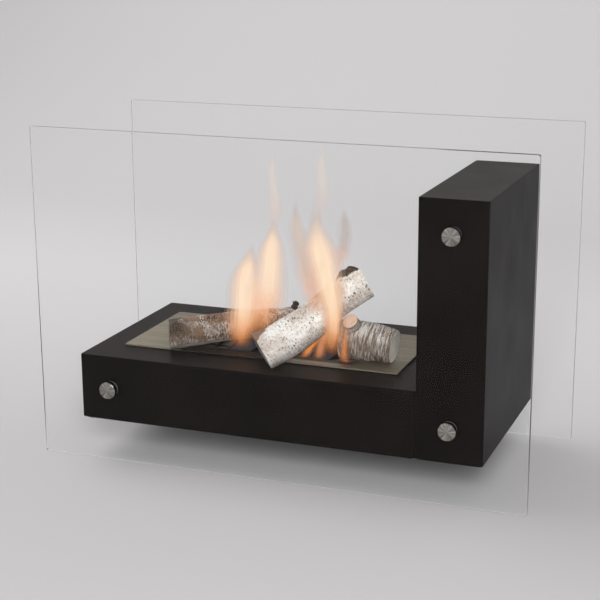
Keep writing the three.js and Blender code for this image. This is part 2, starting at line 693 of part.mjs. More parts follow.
// Crooked log that stands on the hearth and leans over the stub of the short log
function leaningLog() {
  const body = logSolid(LEANING_LOG_AXIS, LEANING_LOG_RADII, HEARTH_TOP, LEANING_LOG_SLANT);
  return piece('leaning_log', geometryOf(body), BIRCH);
}

// Short log with a sawn branch stub that carries the leaning log
function shortLog() {
  const body = logSolid(SHORT_LOG_AXIS, SHORT_LOG_RADII, TRAY_TOP, SQUARE_CUT);
  const stub = branchStub(STUB_ROOT, STUB_END, STUB_RADIUS, TRAY_TOP);
  return piece('short_log', geometryOf(body.add(stub)), BIRCH);
}

const fireplace = new THREE.Group();
fireplace.name = 'bioethanol_fireplace';
fireplace.add(pane('front_glass', -1));
fireplace.add(pane('rear_glass', 1));
for (const sideName of ['front', 'rear']) {
  for (const [spotName, spot] of Object.entries(FIXINGS)) {
    fireplace.add(fixing(sideName, spotName, spot));
  }
}
fireplace.add(hearthCasing());
fireplace.add(columnCasing());
fireplace.add(bottomCover('hearth_cover', BODY_LEFT, SEAM_X, HEARTH_SCREWS));
fireplace.add(bottomCover('column_cover', SEAM_X, BODY_RIGHT, COLUMN_SCREWS));
screwSpots(HEARTH_SCREWS).forEach((spot, index) => {
  fireplace.add(coverScrew(`hearth_cover_screw_${index + 1}`, spot));
});
screwSpots(COLUMN_SCREWS).forEach((spot, index) => {
  fireplace.add(coverScrew(`column_cover_screw_${index + 1}`, spot));
});
[-SEAM_BOLT_Y, SEAM_BOLT_Y].forEach((y, index) => {
  fireplace.add(seamBolt(`seam_bolt_${index + 1}`, y));
  fireplace.add(seamNut(`seam_nut_${index + 1}`, y));
});
fireplace.add(burnerTray());
fireplace.add(burnerSeal());
fireplace.add(openBox('overflow_pan', PAN_LENGTH, PAN_WIDTH, PAN_BOTTOM));
fireplace.add(openBox('fuel_tank', WELL_LENGTH + 2 * TANK_WALL, WELL_WIDTH + 2 * TANK_WALL, TANK_BOTTOM));
fireplace.add(fuelWool());
fireplace.add(woolGrid());
fireplace.add(shutterRail('shutter_rail_front', -1));
fireplace.add(shutterRail('shutter_rail_rear', 1));
fireplace.add(burnerDeck());
fireplace.add(shutter());
fireplace.add(longLog());
fireplace.add(leaningLog());
fireplace.add(shortLog());

export default fireplace;
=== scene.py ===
from math import atan2, cos, floor, pi, radians, sin

import bmesh
import bpy
from mathutils import Matrix, Vector, noise


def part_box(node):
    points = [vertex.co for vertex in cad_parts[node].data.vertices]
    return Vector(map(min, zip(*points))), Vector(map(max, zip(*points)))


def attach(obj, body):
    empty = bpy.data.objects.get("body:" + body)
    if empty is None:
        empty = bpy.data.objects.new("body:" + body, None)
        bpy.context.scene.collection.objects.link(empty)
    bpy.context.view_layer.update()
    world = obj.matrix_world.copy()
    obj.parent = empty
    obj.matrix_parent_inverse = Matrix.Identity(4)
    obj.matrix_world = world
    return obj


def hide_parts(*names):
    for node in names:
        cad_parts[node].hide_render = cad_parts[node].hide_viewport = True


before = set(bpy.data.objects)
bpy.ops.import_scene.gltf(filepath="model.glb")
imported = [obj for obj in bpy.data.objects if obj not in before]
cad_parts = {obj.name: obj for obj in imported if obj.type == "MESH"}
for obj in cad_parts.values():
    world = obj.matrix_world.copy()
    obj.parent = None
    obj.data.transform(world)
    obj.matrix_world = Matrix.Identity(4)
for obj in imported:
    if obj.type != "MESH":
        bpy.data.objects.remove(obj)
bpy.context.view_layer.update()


# ---------------------------------------------------------------------------
# Studio: a pale seamless sweep of painted board, a large soft light high at the left,
# a smaller one high before the right end, and the camera a little right of the front.
CAMERA_PLACE = (0.7486, -1.9873, 0.8056)
CAMERA_DOWN = 15.105
CAMERA_TURN = 19.872
CAMERA_LENS = 87.28
CAMERA_SHIFT = -0.05
SWEEP_WIDTH = 14.0
SWEEP_FRONT = -5.0
SWEEP_BACK = 3.2
SWEEP_RADIUS = 1.6
SWEEP_HEIGHT = 6.0
SWEEP_STEPS = 12
SWEEP_MOTTLE = 0.06
SWEEP_CLOUDS_PER_METRE = 2.0
SWEEP_NEAR_COLOUR = (0.57, 0.557, 0.574, 1.0)
SWEEP_FAR_COLOUR = (0.80, 0.785, 0.795, 1.0)
SWEEP_NEAR_REACH = (-0.5, 1.1)
SWEEP_ROUGHNESS = 0.8
SKY_COLOUR = (0.98, 0.98, 1.0)
SKY_STRENGTH = 0.39
LIT_POINT = Vector((0.0, 0.0, 0.2))
OVERHEAD = {"place": (-1.8, 0.5, 2.6), "size": (2.6, 2.2), "power": 33.0}
FRONT = {"place": (1.15, -3.0, 1.7), "size": (1.4, 1.4), "power": 92.0}
LIGHT_COLOUR = (1.0, 0.985, 0.965)


def feed(tree, socket, value):
    """Links another node's output to the socket, or sets its value."""
    if isinstance(value, bpy.types.NodeSocket):
        tree.links.new(value, socket)
    else:
        socket.default_value = value


def put(tree, kind, inputs=None, **settings):
    """Adds one shader node with its settings and inputs."""
    made = tree.nodes.new("ShaderNode" + kind)
    for name, value in settings.items():
        setattr(made, name, value)
    for name, value in (inputs or {}).items():
        feed(tree, made.inputs[name], value)
    return made


def new_finish(name, **constants):
    """Material with one Principled shader: returns it, its nodes, shader and Object coordinates."""
    finish = bpy.data.materials.new(name)
    finish.use_nodes = True
    tree = finish.node_tree
    tree.nodes.clear()
    out = put(tree, "OutputMaterial")
    shader = put(tree, "BsdfPrincipled")
    tree.links.new(shader.outputs["BSDF"], out.inputs["Surface"])
    for socket, value in constants.items():
        shader.inputs[socket.replace("_", " ")].default_value = value
    where = put(tree, "TexCoord").outputs["Object"]
    return finish, tree, shader, where


def noise_at(tree, where, scale, detail=3.0, roughness=0.5):
    """Soft cloudy noise from 0 to 1 at the given scale per metre."""
    inputs = {"Vector": where, "Scale": scale, "Detail": detail, "Roughness": roughness}
    return put(tree, "TexNoise", inputs).outputs["Fac"]


def ramp(tree, value, low, high, start=0.0, end=1.0):
    """Smooth step of a value: start below low, end above high."""
    inputs = {"Value": value, "From Min": low, "From Max": high, "To Min": start, "To Max": end}
    return put(tree, "MapRange", inputs, interpolation_type="SMOOTHSTEP").outputs["Result"]


def maths(tree, operation, first, second=0.0):
    """One arithmetic step between two values."""
    made = put(tree, "Math", operation=operation)
    feed(tree, made.inputs[0], first)
    feed(tree, made.inputs[1], second)
    return made.outputs["Value"]


def times(tree, first, second):
    """Product of two values."""
    return maths(tree, "MULTIPLY", first, second)


def parts_of(tree, vector):
    """X, Y and Z of a vector, by name."""
    return put(tree, "SeparateXYZ", {"Vector": vector}).outputs


def blended(tree, mask, first, second):
    """Colour that goes from first to second where the mask goes from 0 to 1."""
    made = put(tree, "Mix", data_type="RGBA")
    feed(tree, made.inputs[0], mask)
    feed(tree, made.inputs[6], first)
    feed(tree, made.inputs[7], second)
    return made.outputs[2]


def new_piece(name, mesh_source, finish):
    """Scene object that holds a bmesh's shape, with one material."""
    mesh = bpy.data.meshes.new(name)
    mesh_source.to_mesh(mesh)
    mesh_source.free()
    piece = bpy.data.objects.new(name, mesh)
    bpy.context.scene.collection.objects.link(piece)
    piece.data.materials.append(finish)
    return piece


def smoothed(shape):
    """Marks every face of a bmesh to be shaded smooth."""
    for face in shape.faces:
        face.smooth = True
    return shape


camera_data = bpy.data.cameras.new("camera")
camera_data.lens = CAMERA_LENS
camera_data.sensor_width = 36.0
camera_data.shift_x = CAMERA_SHIFT
camera = bpy.data.objects.new("camera", camera_data)
camera.location = CAMERA_PLACE
camera.rotation_euler = (radians(90.0 - CAMERA_DOWN), 0.0, radians(CAMERA_TURN))
bpy.context.scene.collection.objects.link(camera)
bpy.context.scene.camera = camera
bpy.context.scene.view_settings.view_transform = "Standard"


def soft_light(name, place, size, power):
    """Rectangular soft light that faces the fireplace."""
    lamp_data = bpy.data.lights.new(name, "AREA")
    lamp_data.shape = "RECTANGLE"
    lamp_data.size, lamp_data.size_y = size
    lamp_data.energy = power
    lamp_data.color = LIGHT_COLOUR
    lamp = bpy.data.objects.new(name, lamp_data)
    lamp.location = place
    lamp.rotation_euler = (LIT_POINT - Vector(place)).to_track_quat("-Z", "Y").to_euler()
    bpy.context.scene.collection.objects.link(lamp)


soft_light("overhead_light", **OVERHEAD)
soft_light("front_light", **FRONT)

sky = bpy.data.worlds.new("studio")
sky.use_nodes = True
sky_background = sky.node_tree.nodes["Background"]
sky_background.inputs["Color"].default_value = (*SKY_COLOUR, 1.0)
sky_background.inputs["Strength"].default_value = SKY_STRENGTH
bpy.context.scene.world = sky


def sweep_mesh():
    """Floor that curves up into a wall at the back."""
    shape = bmesh.new()
    left = shape.verts.new((-SWEEP_WIDTH / 2, SWEEP_FRONT, 0.0))
    right = shape.verts.new((SWEEP_WIDTH / 2, SWEEP_FRONT, 0.0))
    edges = [shape.edges.new((left, right))]
    stations = [(SWEEP_BACK - SWEEP_RADIUS, 0.0)]
    for step in range(1, SWEEP_STEPS + 1):
        turn = pi / 2 * step / SWEEP_STEPS
        curved = SWEEP_BACK - SWEEP_RADIUS + SWEEP_RADIUS * sin(turn)
        stations.append((curved, SWEEP_RADIUS * (1 - cos(turn))))
    stations.append((SWEEP_BACK, SWEEP_HEIGHT))
    for back, height in stations:
        grown = bmesh.ops.extrude_edge_only(shape, edges=edges)["geom"]
        edges = [part for part in grown if isinstance(part, bmesh.types.BMEdge)]
        for corner in [part for part in grown if isinstance(part, bmesh.types.BMVert)]:
            corner.co.y, corner.co.z = back, height
    bmesh.ops.recalc_face_normals(shape, faces=shape.faces)
    return smoothed(shape)


sweep_finish, tree, shader, where = new_finish("pale_board", Roughness=SWEEP_ROUGHNESS)
# The board's colour goes paler from the near floor to the far floor and wall: painted light, standing in for
# the back being lit more than the floor.
back = parts_of(tree, where)["Y"]
mottle = times(tree, noise_at(tree, where, SWEEP_CLOUDS_PER_METRE, 4.0), SWEEP_MOTTLE)
further = maths(tree, "ADD", ramp(tree, back, *SWEEP_NEAR_REACH), mottle)
feed(tree, shader.inputs["Base Color"], blended(tree, further, SWEEP_NEAR_COLOUR, SWEEP_FAR_COLOUR))
sweep = new_piece("studio_sweep", sweep_mesh(), sweep_finish)


# ---------------------------------------------------------------------------
# Glass panes: two sheets of 5 mm toughened float glass that carry everything.
# Their faces are clear, and their edges are ground, so they read as fine grey lines.
# Shadows and bounced light pass straight through, as they nearly do in thin clear glass.
GLASS_TINT = (0.982, 0.988, 0.985, 1.0)
GLASS_EDGE_TINT = (0.96, 0.975, 0.97, 1.0)
GLASS_IOR = 1.45
GLASS_SHINE = 0.12
GLASS_GLARE = (0.08, 0.08, 0.08, 1.0)
GLASS_EDGE_BAND = 0.0006
GLASS_EDGE_ROUGHNESS = 0.32
SMEAR_PER_METRE = (4.5, 4.5, 13.5)
SMEAR_ROUGHNESS = 0.012
PANE_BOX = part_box("front_glass")


def stretched(tree, where, scale):
    """Coordinates multiplied by a scale for each direction."""
    return put(tree, "Mapping", {"Vector": where, "Scale": scale}).outputs["Vector"]


glass_finish, tree, shader, where = new_finish("clear_glass", Transmission_Weight=1.0, IOR=GLASS_IOR)
shader.inputs["Specular IOR Level"].default_value = GLASS_SHINE
shader.inputs["Specular Tint"].default_value = GLASS_GLARE
axes = parts_of(tree, where)
half_width = PANE_BOX[1][0] - GLASS_EDGE_BAND
top = PANE_BOX[1][2] - GLASS_EDGE_BAND
side_edge = maths(tree, "GREATER_THAN", maths(tree, "ABSOLUTE", axes["X"]), half_width)
top_edge = maths(tree, "GREATER_THAN", axes["Z"], top)
foot_edge = maths(tree, "LESS_THAN", axes["Z"], GLASS_EDGE_BAND)
ground = maths(tree, "MAXIMUM", maths(tree, "MAXIMUM", side_edge, top_edge), foot_edge)
feed(tree, shader.inputs["Base Color"], blended(tree, ground, GLASS_TINT, GLASS_EDGE_TINT))
smear = noise_at(tree, stretched(tree, where, SMEAR_PER_METRE), 1.0, 4.0)
face_roughness = ramp(tree, smear, 0.35, 0.75, 0.0, SMEAR_ROUGHNESS)
roughness = maths(tree, "MAXIMUM", times(tree, ground, GLASS_EDGE_ROUGHNESS), face_roughness)
feed(tree, shader.inputs["Roughness"], roughness)
through = put(tree, "BsdfTransparent", {"Color": GLASS_TINT})
path = put(tree, "LightPath").outputs
soft_path = maths(tree, "MAXIMUM", path["Is Shadow Ray"], path["Is Diffuse Ray"])
either = put(tree, "MixShader")
feed(tree, either.inputs[0], soft_path)
feed(tree, either.inputs[1], shader.outputs["BSDF"])
feed(tree, either.inputs[2], through.outputs["BSDF"])
tree.links.new(either.outputs["Shader"], tree.nodes["Material Output"].inputs["Surface"])


def give_finish(node_names, finish):
    """Puts a material in every slot of these CAD pieces."""
    for node_name in node_names:
        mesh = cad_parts[node_name].data
        mesh.materials.clear()
        mesh.materials.append(finish)


give_finish(["front_glass", "rear_glass"], glass_finish)


# ---------------------------------------------------------------------------
# Casings: folded 2.5 mm sheet steel boxes, a long low one for the hearth and an
# upright one at the right, powder coated satin black and closed by screwed covers.
COAT_COLOUR = (0.0036, 0.0026, 0.0026, 1.0)
COAT_WORN_COLOUR = (0.0070, 0.0054, 0.0050, 1.0)
COAT_SHEEN_TINT = (1.0, 0.90, 0.84, 1.0)
COAT_TOP_COLOUR = (0.062, 0.048, 0.040, 1.0)
COAT_TOP_SHARE = 0.35
COAT_ROUGHNESS = 0.42
COAT_PEEL_PER_METRE = 420.0
COAT_PEEL_HEIGHT = 0.000004
COAT_SPECKLE_PER_METRE = 1900.0
COAT_SPECKLE_HEIGHT = 0.000002
COAT_CLOUDS_PER_METRE = 9.0


def raised(tree, height, distance):
    """Normal for a relief whose height of 1 stands for the given distance in metres."""
    return put(tree, "Bump", {"Height": height, "Distance": distance}).outputs["Normal"]


coat_finish, tree, shader, where = new_finish("satin_black_powder_coat", Specular_IOR_Level=0.06)
shader.inputs["Specular Tint"].default_value = COAT_SHEEN_TINT
peel = noise_at(tree, where, COAT_PEEL_PER_METRE, 2.0)
speckle = noise_at(tree, where, COAT_SPECKLE_PER_METRE, 1.0)
cloud = noise_at(tree, where, COAT_CLOUDS_PER_METRE, 4.0, 0.6)
# Upward faces are coloured a lighter warm brown in cloudy patches.
facing_up = parts_of(tree, put(tree, "NewGeometry").outputs["Normal"])["Z"]
lighter_on_top = times(tree, ramp(tree, facing_up, 0.5, 1.0), ramp(tree, cloud, 0.25, 0.85, 0.25, 0.75))
lighter_on_top = times(tree, lighter_on_top, COAT_TOP_SHARE)
rubbed = blended(tree, ramp(tree, cloud, 0.3, 0.8), COAT_COLOUR, COAT_WORN_COLOUR)
feed(tree, shader.inputs["Base Color"], blended(tree, lighter_on_top, rubbed, COAT_TOP_COLOUR))
satin = ramp(tree, cloud, 0.2, 0.9, COAT_ROUGHNESS - 0.05, COAT_ROUGHNESS + 0.09)
feed(tree, shader.inputs["Roughness"], satin)
peel_height = times(tree, peel, COAT_PEEL_HEIGHT)
speckle_height = times(tree, speckle, COAT_SPECKLE_HEIGHT)
relief = maths(tree, "ADD", peel_height, speckle_height)
feed(tree, shader.inputs["Normal"], raised(tree, relief, 1.0))

give_finish(["hearth_casing", "column_casing", "hearth_cover", "column_cover"], coat_finish)


# ---------------------------------------------------------------------------
# Glass fixings: a turned and polished stainless cap over silicone washers and a nylon
# sleeve, screwed to a rivet nut in the casing. Each cap keeps its fine lathe rings as relief;
# the light and dark streaks such rings make across a turned face are a painted reflection.
CAP_COLOUR = (0.50, 0.49, 0.45, 1.0)
CAP_PAINTED_STREAK_DARK_COLOUR = (0.13, 0.12, 0.105, 1.0)
CAP_RIM_REFLECTION_COLOUR = (0.055, 0.050, 0.046, 1.0)
CAP_RING_PITCH = 0.00035
CAP_RING_HEIGHT = 0.000012
CAP_RING_WANDER = 9.0
CAP_WANDER_PER_METRE = 300.0
CAP_ROUGHNESS = 0.20
CAP_STREAK = 0.85
CAP_PAINTED_STREAK_SCALE = 3.2
FIXING_STATIONS = ["hearth", "column_low", "column_high"]
PANE_SIDES = ["front", "rear"]


def cap_finish_at(station):
    """Turned steel whose rings lie round the fixing's own centre, with painted reflection streaks and rim."""
    low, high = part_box("cap_front_" + station)
    centre = (low + high) / 2
    finish, tree, shader, where = new_finish("turned_cap_" + station, Metallic=1.0, Anisotropic=CAP_STREAK)
    around_axis = put(tree, "Tangent", direction_type="RADIAL", axis="Y").outputs["Tangent"]
    feed(tree, shader.inputs["Tangent"], around_axis)
    shift = {"Vector": where, "Location": (-centre.x, 0.0, -centre.z)}
    around = put(tree, "Mapping", shift).outputs["Vector"]
    flat = stretched(tree, around, (1.0, 0.0, 1.0))
    distance = put(tree, "VectorMath", {"Vector": flat}, operation="LENGTH").outputs["Value"]
    spread = times(tree, distance, 2 * pi / CAP_RING_PITCH)
    wander = times(tree, noise_at(tree, flat, CAP_WANDER_PER_METRE), CAP_RING_WANDER)
    rings = maths(tree, "SINE", maths(tree, "ADD", spread, wander))
    direction = put(tree, "VectorMath", {"Vector": flat}, operation="NORMALIZE").outputs["Vector"]
    # Painted reflection: light and dark streaks fanning out from the centre, fixed in the colour.
    painted_streak = noise_at(tree, stretched(tree, direction, (1.0, 0.0, 1.0)), CAP_PAINTED_STREAK_SCALE, 3.0, 0.6)
    tone = ramp(tree, painted_streak, 0.34, 0.66)
    turned = blended(tree, tone, CAP_PAINTED_STREAK_DARK_COLOUR, CAP_COLOUR)
    # The rim is painted dark: a painted reflection of the black casing beside it.
    facing = parts_of(tree, put(tree, "NewGeometry").outputs["Normal"])["Y"]
    side = ramp(tree, maths(tree, "ABSOLUTE", facing), 0.3, 0.75, 1.0, 0.0)
    feed(tree, shader.inputs["Base Color"], blended(tree, side, turned, CAP_RIM_REFLECTION_COLOUR))
    polish = ramp(tree, rings, -1.0, 1.0, CAP_ROUGHNESS - 0.06, CAP_ROUGHNESS + 0.08)
    feed(tree, shader.inputs["Roughness"], polish)
    feed(tree, shader.inputs["Normal"], raised(tree, times(tree, rings, CAP_RING_HEIGHT), 1.0))
    return finish


SILICONE_COLOUR = (0.34, 0.345, 0.34, 1.0)
SILICONE_MILKY_COLOUR = (0.46, 0.465, 0.45, 1.0)
SILICONE_HAZE_PER_METRE = 240.0
NYLON_COLOUR = (0.62, 0.60, 0.54, 1.0)
NYLON_PALE_COLOUR = (0.72, 0.70, 0.63, 1.0)
NYLON_HAZE_PER_METRE = 300.0

silicone_finish, tree, shader, where = new_finish("clear_silicone", Transmission_Weight=0.9, IOR=1.41)
haze = noise_at(tree, where, SILICONE_HAZE_PER_METRE)
feed(tree, shader.inputs["Base Color"], blended(tree, haze, SILICONE_COLOUR, SILICONE_MILKY_COLOUR))
feed(tree, shader.inputs["Roughness"], ramp(tree, haze, 0.2, 0.8, 0.35, 0.5))

nylon_finish, tree, shader, where = new_finish("natural_nylon")
haze = noise_at(tree, where, NYLON_HAZE_PER_METRE)
feed(tree, shader.inputs["Base Color"], blended(tree, haze, NYLON_COLOUR, NYLON_PALE_COLOUR))
feed(tree, shader.inputs["Roughness"], ramp(tree, haze, 0.2, 0.8, 0.38, 0.5))

for station in FIXING_STATIONS:
    turned_finish = cap_finish_at(station)
    for pane_side in PANE_SIDES:
        place = pane_side + "_" + station
        give_finish(["cap_" + place], turned_finish)
        give_finish(["outer_gasket_" + place, "inner_gasket_" + place], silicone_finish)
        give_finish(["sleeve_" + place], nylon_finish)


# ---------------------------------------------------------------------------
# Small fasteners: rivet nuts, seam bolts and their nuts are zinc plated steel, with a fine
# frosted grain and bluish and straw patches. The screws of the covers are coated black.
ZINC_COLOUR = (0.50, 0.51, 0.52, 1.0)
ZINC_STRAW_COLOUR = (0.55, 0.51, 0.42, 1.0)
ZINC_PATCHES_PER_METRE = 160.0
ZINC_GRAIN_PER_METRE = 2600.0
ZINC_GRAIN_HEIGHT = 0.00001
SCREW_COLOUR = (0.012, 0.011, 0.011, 1.0)
SCREW_GREY_COLOUR = (0.03, 0.028, 0.027, 1.0)
SCREW_GRAIN_PER_METRE = 1500.0
SCREW_GRAIN_HEIGHT = 0.00002

zinc_finish, tree, shader, where = new_finish("zinc_plate", Metallic=1.0)
patch = ramp(tree, noise_at(tree, where, ZINC_PATCHES_PER_METRE, 3.0), 0.4, 0.7)
grain = noise_at(tree, where, ZINC_GRAIN_PER_METRE, 2.0)
feed(tree, shader.inputs["Base Color"], blended(tree, patch, ZINC_COLOUR, ZINC_STRAW_COLOUR))
feed(tree, shader.inputs["Roughness"], ramp(tree, grain, 0.2, 0.8, 0.3, 0.48))
feed(tree, shader.inputs["Normal"], raised(tree, grain, ZINC_GRAIN_HEIGHT))

rivet_nuts = ["rivet_nut_" + side + "_" + station for side in PANE_SIDES for station in FIXING_STATIONS]
give_finish(rivet_nuts + ["seam_bolt_1", "seam_bolt_2", "seam_nut_1", "seam_nut_2"], zinc_finish)

screw_finish, tree, shader, where = new_finish("black_screw_coat")
grain = noise_at(tree, where, SCREW_GRAIN_PER_METRE, 2.0)
feed(tree, shader.inputs["Base Color"], blended(tree, grain, SCREW_COLOUR, SCREW_GREY_COLOUR))
feed(tree, shader.inputs["Roughness"], ramp(tree, grain, 0.2, 0.8, 0.36, 0.5))
feed(tree, shader.inputs["Normal"], raised(tree, grain, SCREW_GRAIN_HEIGHT))
give_finish(["hearth_cover_screw_" + str(number) for number in (1, 2, 3, 4)], screw_finish)
give_finish(["column_cover_screw_1", "column_cover_screw_2"], screw_finish)


# ---------------------------------------------------------------------------
# Burner: a brushed stainless tray let into the hearth, with the fuel tank, its window
# deck, the sliding shutter and the overflow pan below it, all cut from the same sheet.
# Heat has tinted it straw and blue at the well's rim.
STEEL_COLOUR = (0.225, 0.198, 0.150, 1.0)
STEEL_LIGHT_COLOUR = (0.300, 0.270, 0.212, 1.0)
STEEL_STRAW_COLOUR = (0.22, 0.15, 0.07, 1.0)
STEEL_BLUE_COLOUR = (0.09, 0.09, 0.13, 1.0)
BRUSH_PER_METRE = (14.0, 1500.0, 1500.0)
BRUSH_HEIGHT = 0.000015
STEEL_ROUGHNESS = 0.54
TRAY_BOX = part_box("burner_tray")
TRAY_MIDDLE = (TRAY_BOX[0] + TRAY_BOX[1]) / 2
WELL_REACH = (0.147, 0.068)
TINT_WANDER = 0.012
TINT_CLOUDS_PER_METRE = 26.0
STRAW_BAND = (-0.004, 0.006)
STRAW_SHARE = 0.55
BLUE_BAND = (-0.012, -0.004)
BLUE_SHARE = 0.6
LOG_SHADOW_COLOUR = (0.020, 0.015, 0.013, 1.0)
LOG_SHADOW_SHARE = 0.93
LOG_SHADOW_LEFT = (-0.151, -0.121)
LOG_SHADOW_RIGHT = (0.124, 0.149)
LOG_SHADOW_FRONT = (-0.088, -0.080)
LOG_SHADOW_BACK = (-0.05, -0.03)
LOG_SHADOW_LEAN = 0.024
LOG_SHADOW_LEAN_REACH = (0.009, 0.049)


def new_group(name, inputs, outputs):
    """Shader node group with named inputs and outputs."""
    group = bpy.data.node_groups.new(name, "ShaderNodeTree")
    for socket_name, kind, value in inputs:
        socket = group.interface.new_socket(socket_name, in_out="INPUT", socket_type="NodeSocket" + kind)
        if value is not None:
            socket.default_value = value
    for socket_name, kind in outputs:
        group.interface.new_socket(socket_name, in_out="OUTPUT", socket_type="NodeSocket" + kind)
    entry = group.nodes.new("NodeGroupInput")
    leave = group.nodes.new("NodeGroupOutput")
    return group, entry.outputs, leave.inputs


def use_group(tree, group, inputs):
    """Places a node group in a material with its own values."""
    placed = tree.nodes.new("ShaderNodeGroup")
    placed.node_tree = group
    for name, value in inputs.items():
        feed(tree, placed.inputs[name], value)
    return placed.outputs


brushed, given, result = new_group(
    "brushed_grain",
    [("Place", "Vector", None), ("Lines", "Vector", BRUSH_PER_METRE), ("Depth", "Float", BRUSH_HEIGHT)],
    [("Tone", "Float"), ("Height", "Float")],
)
multiplied = put(brushed, "VectorMath", {0: given["Place"], 1: given["Lines"]}, operation="MULTIPLY")
fine = noise_at(brushed, multiplied.outputs["Vector"], 1.0, 3.0, 0.6)
broad = noise_at(brushed, multiplied.outputs["Vector"], 0.21, 2.0)
tone = maths(brushed, "ADD", times(brushed, fine, 0.6), times(brushed, broad, 0.4))
feed(brushed, result["Tone"], ramp(brushed, tone, 0.36, 0.64))
feed(brushed, result["Height"], times(brushed, fine, given["Depth"]))

steel_finish, tree, shader, where = new_finish("brushed_stainless", Metallic=0.8, Anisotropic=0.35)
lines = use_group(tree, brushed, {"Place": where})
steel = blended(tree, lines["Tone"], STEEL_COLOUR, STEEL_LIGHT_COLOUR)
centred = put(tree, "Mapping", {"Vector": where, "Location": tuple(-TRAY_MIDDLE)}).outputs["Vector"]
reach = parts_of(tree, centred)
past_end = maths(tree, "SUBTRACT", maths(tree, "ABSOLUTE", reach["X"]), WELL_REACH[0])
past_side = maths(tree, "SUBTRACT", maths(tree, "ABSOLUTE", reach["Y"]), WELL_REACH[1])
from_rim = maths(tree, "MAXIMUM", past_end, past_side)
uneven = times(tree, noise_at(tree, where, TINT_CLOUDS_PER_METRE, 3.0), TINT_WANDER)
heated = maths(tree, "SUBTRACT", from_rim, uneven)
steel = blended(tree, ramp(tree, heated, *STRAW_BAND, STRAW_SHARE, 0.0), steel, STEEL_STRAW_COLOUR)
steel = blended(tree, ramp(tree, heated, *BLUE_BAND, BLUE_SHARE, 0.0), steel, STEEL_BLUE_COLOUR)

# A painted shadow and reflection of the long log darkens the rim before the well: to its
# front edge under the long log, less far further right.
across = maths(tree, "SUBTRACT", reach["X"], uneven)
right_end = ramp(tree, across, *LOG_SHADOW_RIGHT, LOG_SHADOW_SHARE, 0.0)
shadowed_span = times(tree, ramp(tree, across, *LOG_SHADOW_LEFT), right_end)
lean = ramp(tree, across, *LOG_SHADOW_LEAN_REACH, LOG_SHADOW_LEAN, 0.0)
depth = maths(tree, "SUBTRACT", reach["Y"], times(tree, uneven, 0.4))
depth = maths(tree, "ADD", depth, lean)
front_only = ramp(tree, reach["Y"], *LOG_SHADOW_BACK, 1.0, 0.0)
from_front = times(tree, ramp(tree, depth, *LOG_SHADOW_FRONT), front_only)
steel = blended(tree, times(tree, shadowed_span, from_front), steel, LOG_SHADOW_COLOUR)
feed(tree, shader.inputs["Base Color"], steel)
brushing = ramp(tree, lines["Tone"], 0.0, 1.0, STEEL_ROUGHNESS + 0.08, STEEL_ROUGHNESS - 0.06)
feed(tree, shader.inputs["Roughness"], brushing)
feed(tree, shader.inputs["Normal"], raised(tree, lines["Height"], 1.0))
give_finish(["burner_tray", "overflow_pan"], steel_finish)

# Inside the tray the tank, deck, shutter and rails have been burnt dark by the flames.
BURNT_COLOUR = (0.022, 0.020, 0.022, 1.0)
BURNT_BLUE_COLOUR = (0.030, 0.032, 0.050, 1.0)
BURNT_BROWN_COLOUR = (0.055, 0.036, 0.022, 1.0)
BURNT_CLOUDS_PER_METRE = 22.0

burnt_finish, tree, shader, where = new_finish("flame_darkened_stainless", Metallic=0.85)
lines = use_group(tree, brushed, {"Place": where})
cloud = noise_at(tree, where, BURNT_CLOUDS_PER_METRE, 4.0, 0.6)
burnt = blended(tree, ramp(tree, cloud, 0.38, 0.55), BURNT_BLUE_COLOUR, BURNT_COLOUR)
burnt = blended(tree, ramp(tree, cloud, 0.56, 0.75, 0.0, 0.8), burnt, BURNT_BROWN_COLOUR)
burnt = blended(tree, times(tree, lines["Tone"], 0.3), burnt, BURNT_COLOUR)
feed(tree, shader.inputs["Base Color"], burnt)
feed(tree, shader.inputs["Roughness"], ramp(tree, cloud, 0.3, 0.7, 0.42, 0.6))
feed(tree, shader.inputs["Normal"], raised(tree, lines["Height"], 1.0))
give_finish(["fuel_tank", "burner_deck", "wool_grid"], burnt_finish)
give_finish(["shutter", "shutter_rail_front", "shutter_rail_rear"], burnt_finish)

# The seal under the tray's rim is a black woven fibre tape, whose black also stands in for the
# shade in the gap under the rim; the tank is packed with felted ceramic wool that soaks up the fuel, coloured
# dark grey-brown.
TAPE_AND_GAP_SHADE_COLOUR = (0.028, 0.026, 0.024, 1.0)
TAPE_DARK_COLOUR = (0.008, 0.008, 0.008, 1.0)
TAPE_PER_METRE = 900.0
TAPE_DEPTH = 0.0003
WOOL_DARK_COLOUR = (0.050, 0.042, 0.036, 1.0)
WOOL_GREY_COLOUR = (0.16, 0.145, 0.13, 1.0)
WOOL_PER_METRE = 420.0
WOOL_DEPTH = 0.0008

tape_finish, tree, shader, where = new_finish("fibre_tape_and_gap_shade", Roughness=0.92)
# The tape's black doubles as painted shade in the gap under the tray's rim.
weave = put(tree, "TexVoronoi", {"Vector": where, "Scale": TAPE_PER_METRE}).outputs["Distance"]
feed(tree, shader.inputs["Base Color"], blended(tree, weave, TAPE_AND_GAP_SHADE_COLOUR, TAPE_DARK_COLOUR))
feed(tree, shader.inputs["Normal"], raised(tree, weave, -TAPE_DEPTH))
give_finish(["burner_seal"], tape_finish)

wool_finish, tree, shader, where = new_finish("ceramic_wool", Roughness=1.0)
fibre = noise_at(tree, stretched(tree, where, (1.0, 1.0, 3.0)), WOOL_PER_METRE, 5.0, 0.7)
# The wool is coloured dark grey-brown all through, in fibrous patches.
feed(tree, shader.inputs["Base Color"], blended(tree, fibre, WOOL_DARK_COLOUR, WOOL_GREY_COLOUR))
feed(tree, shader.inputs["Normal"], raised(tree, fibre, WOOL_DEPTH))
give_finish(["ceramic_wool"], wool_finish)


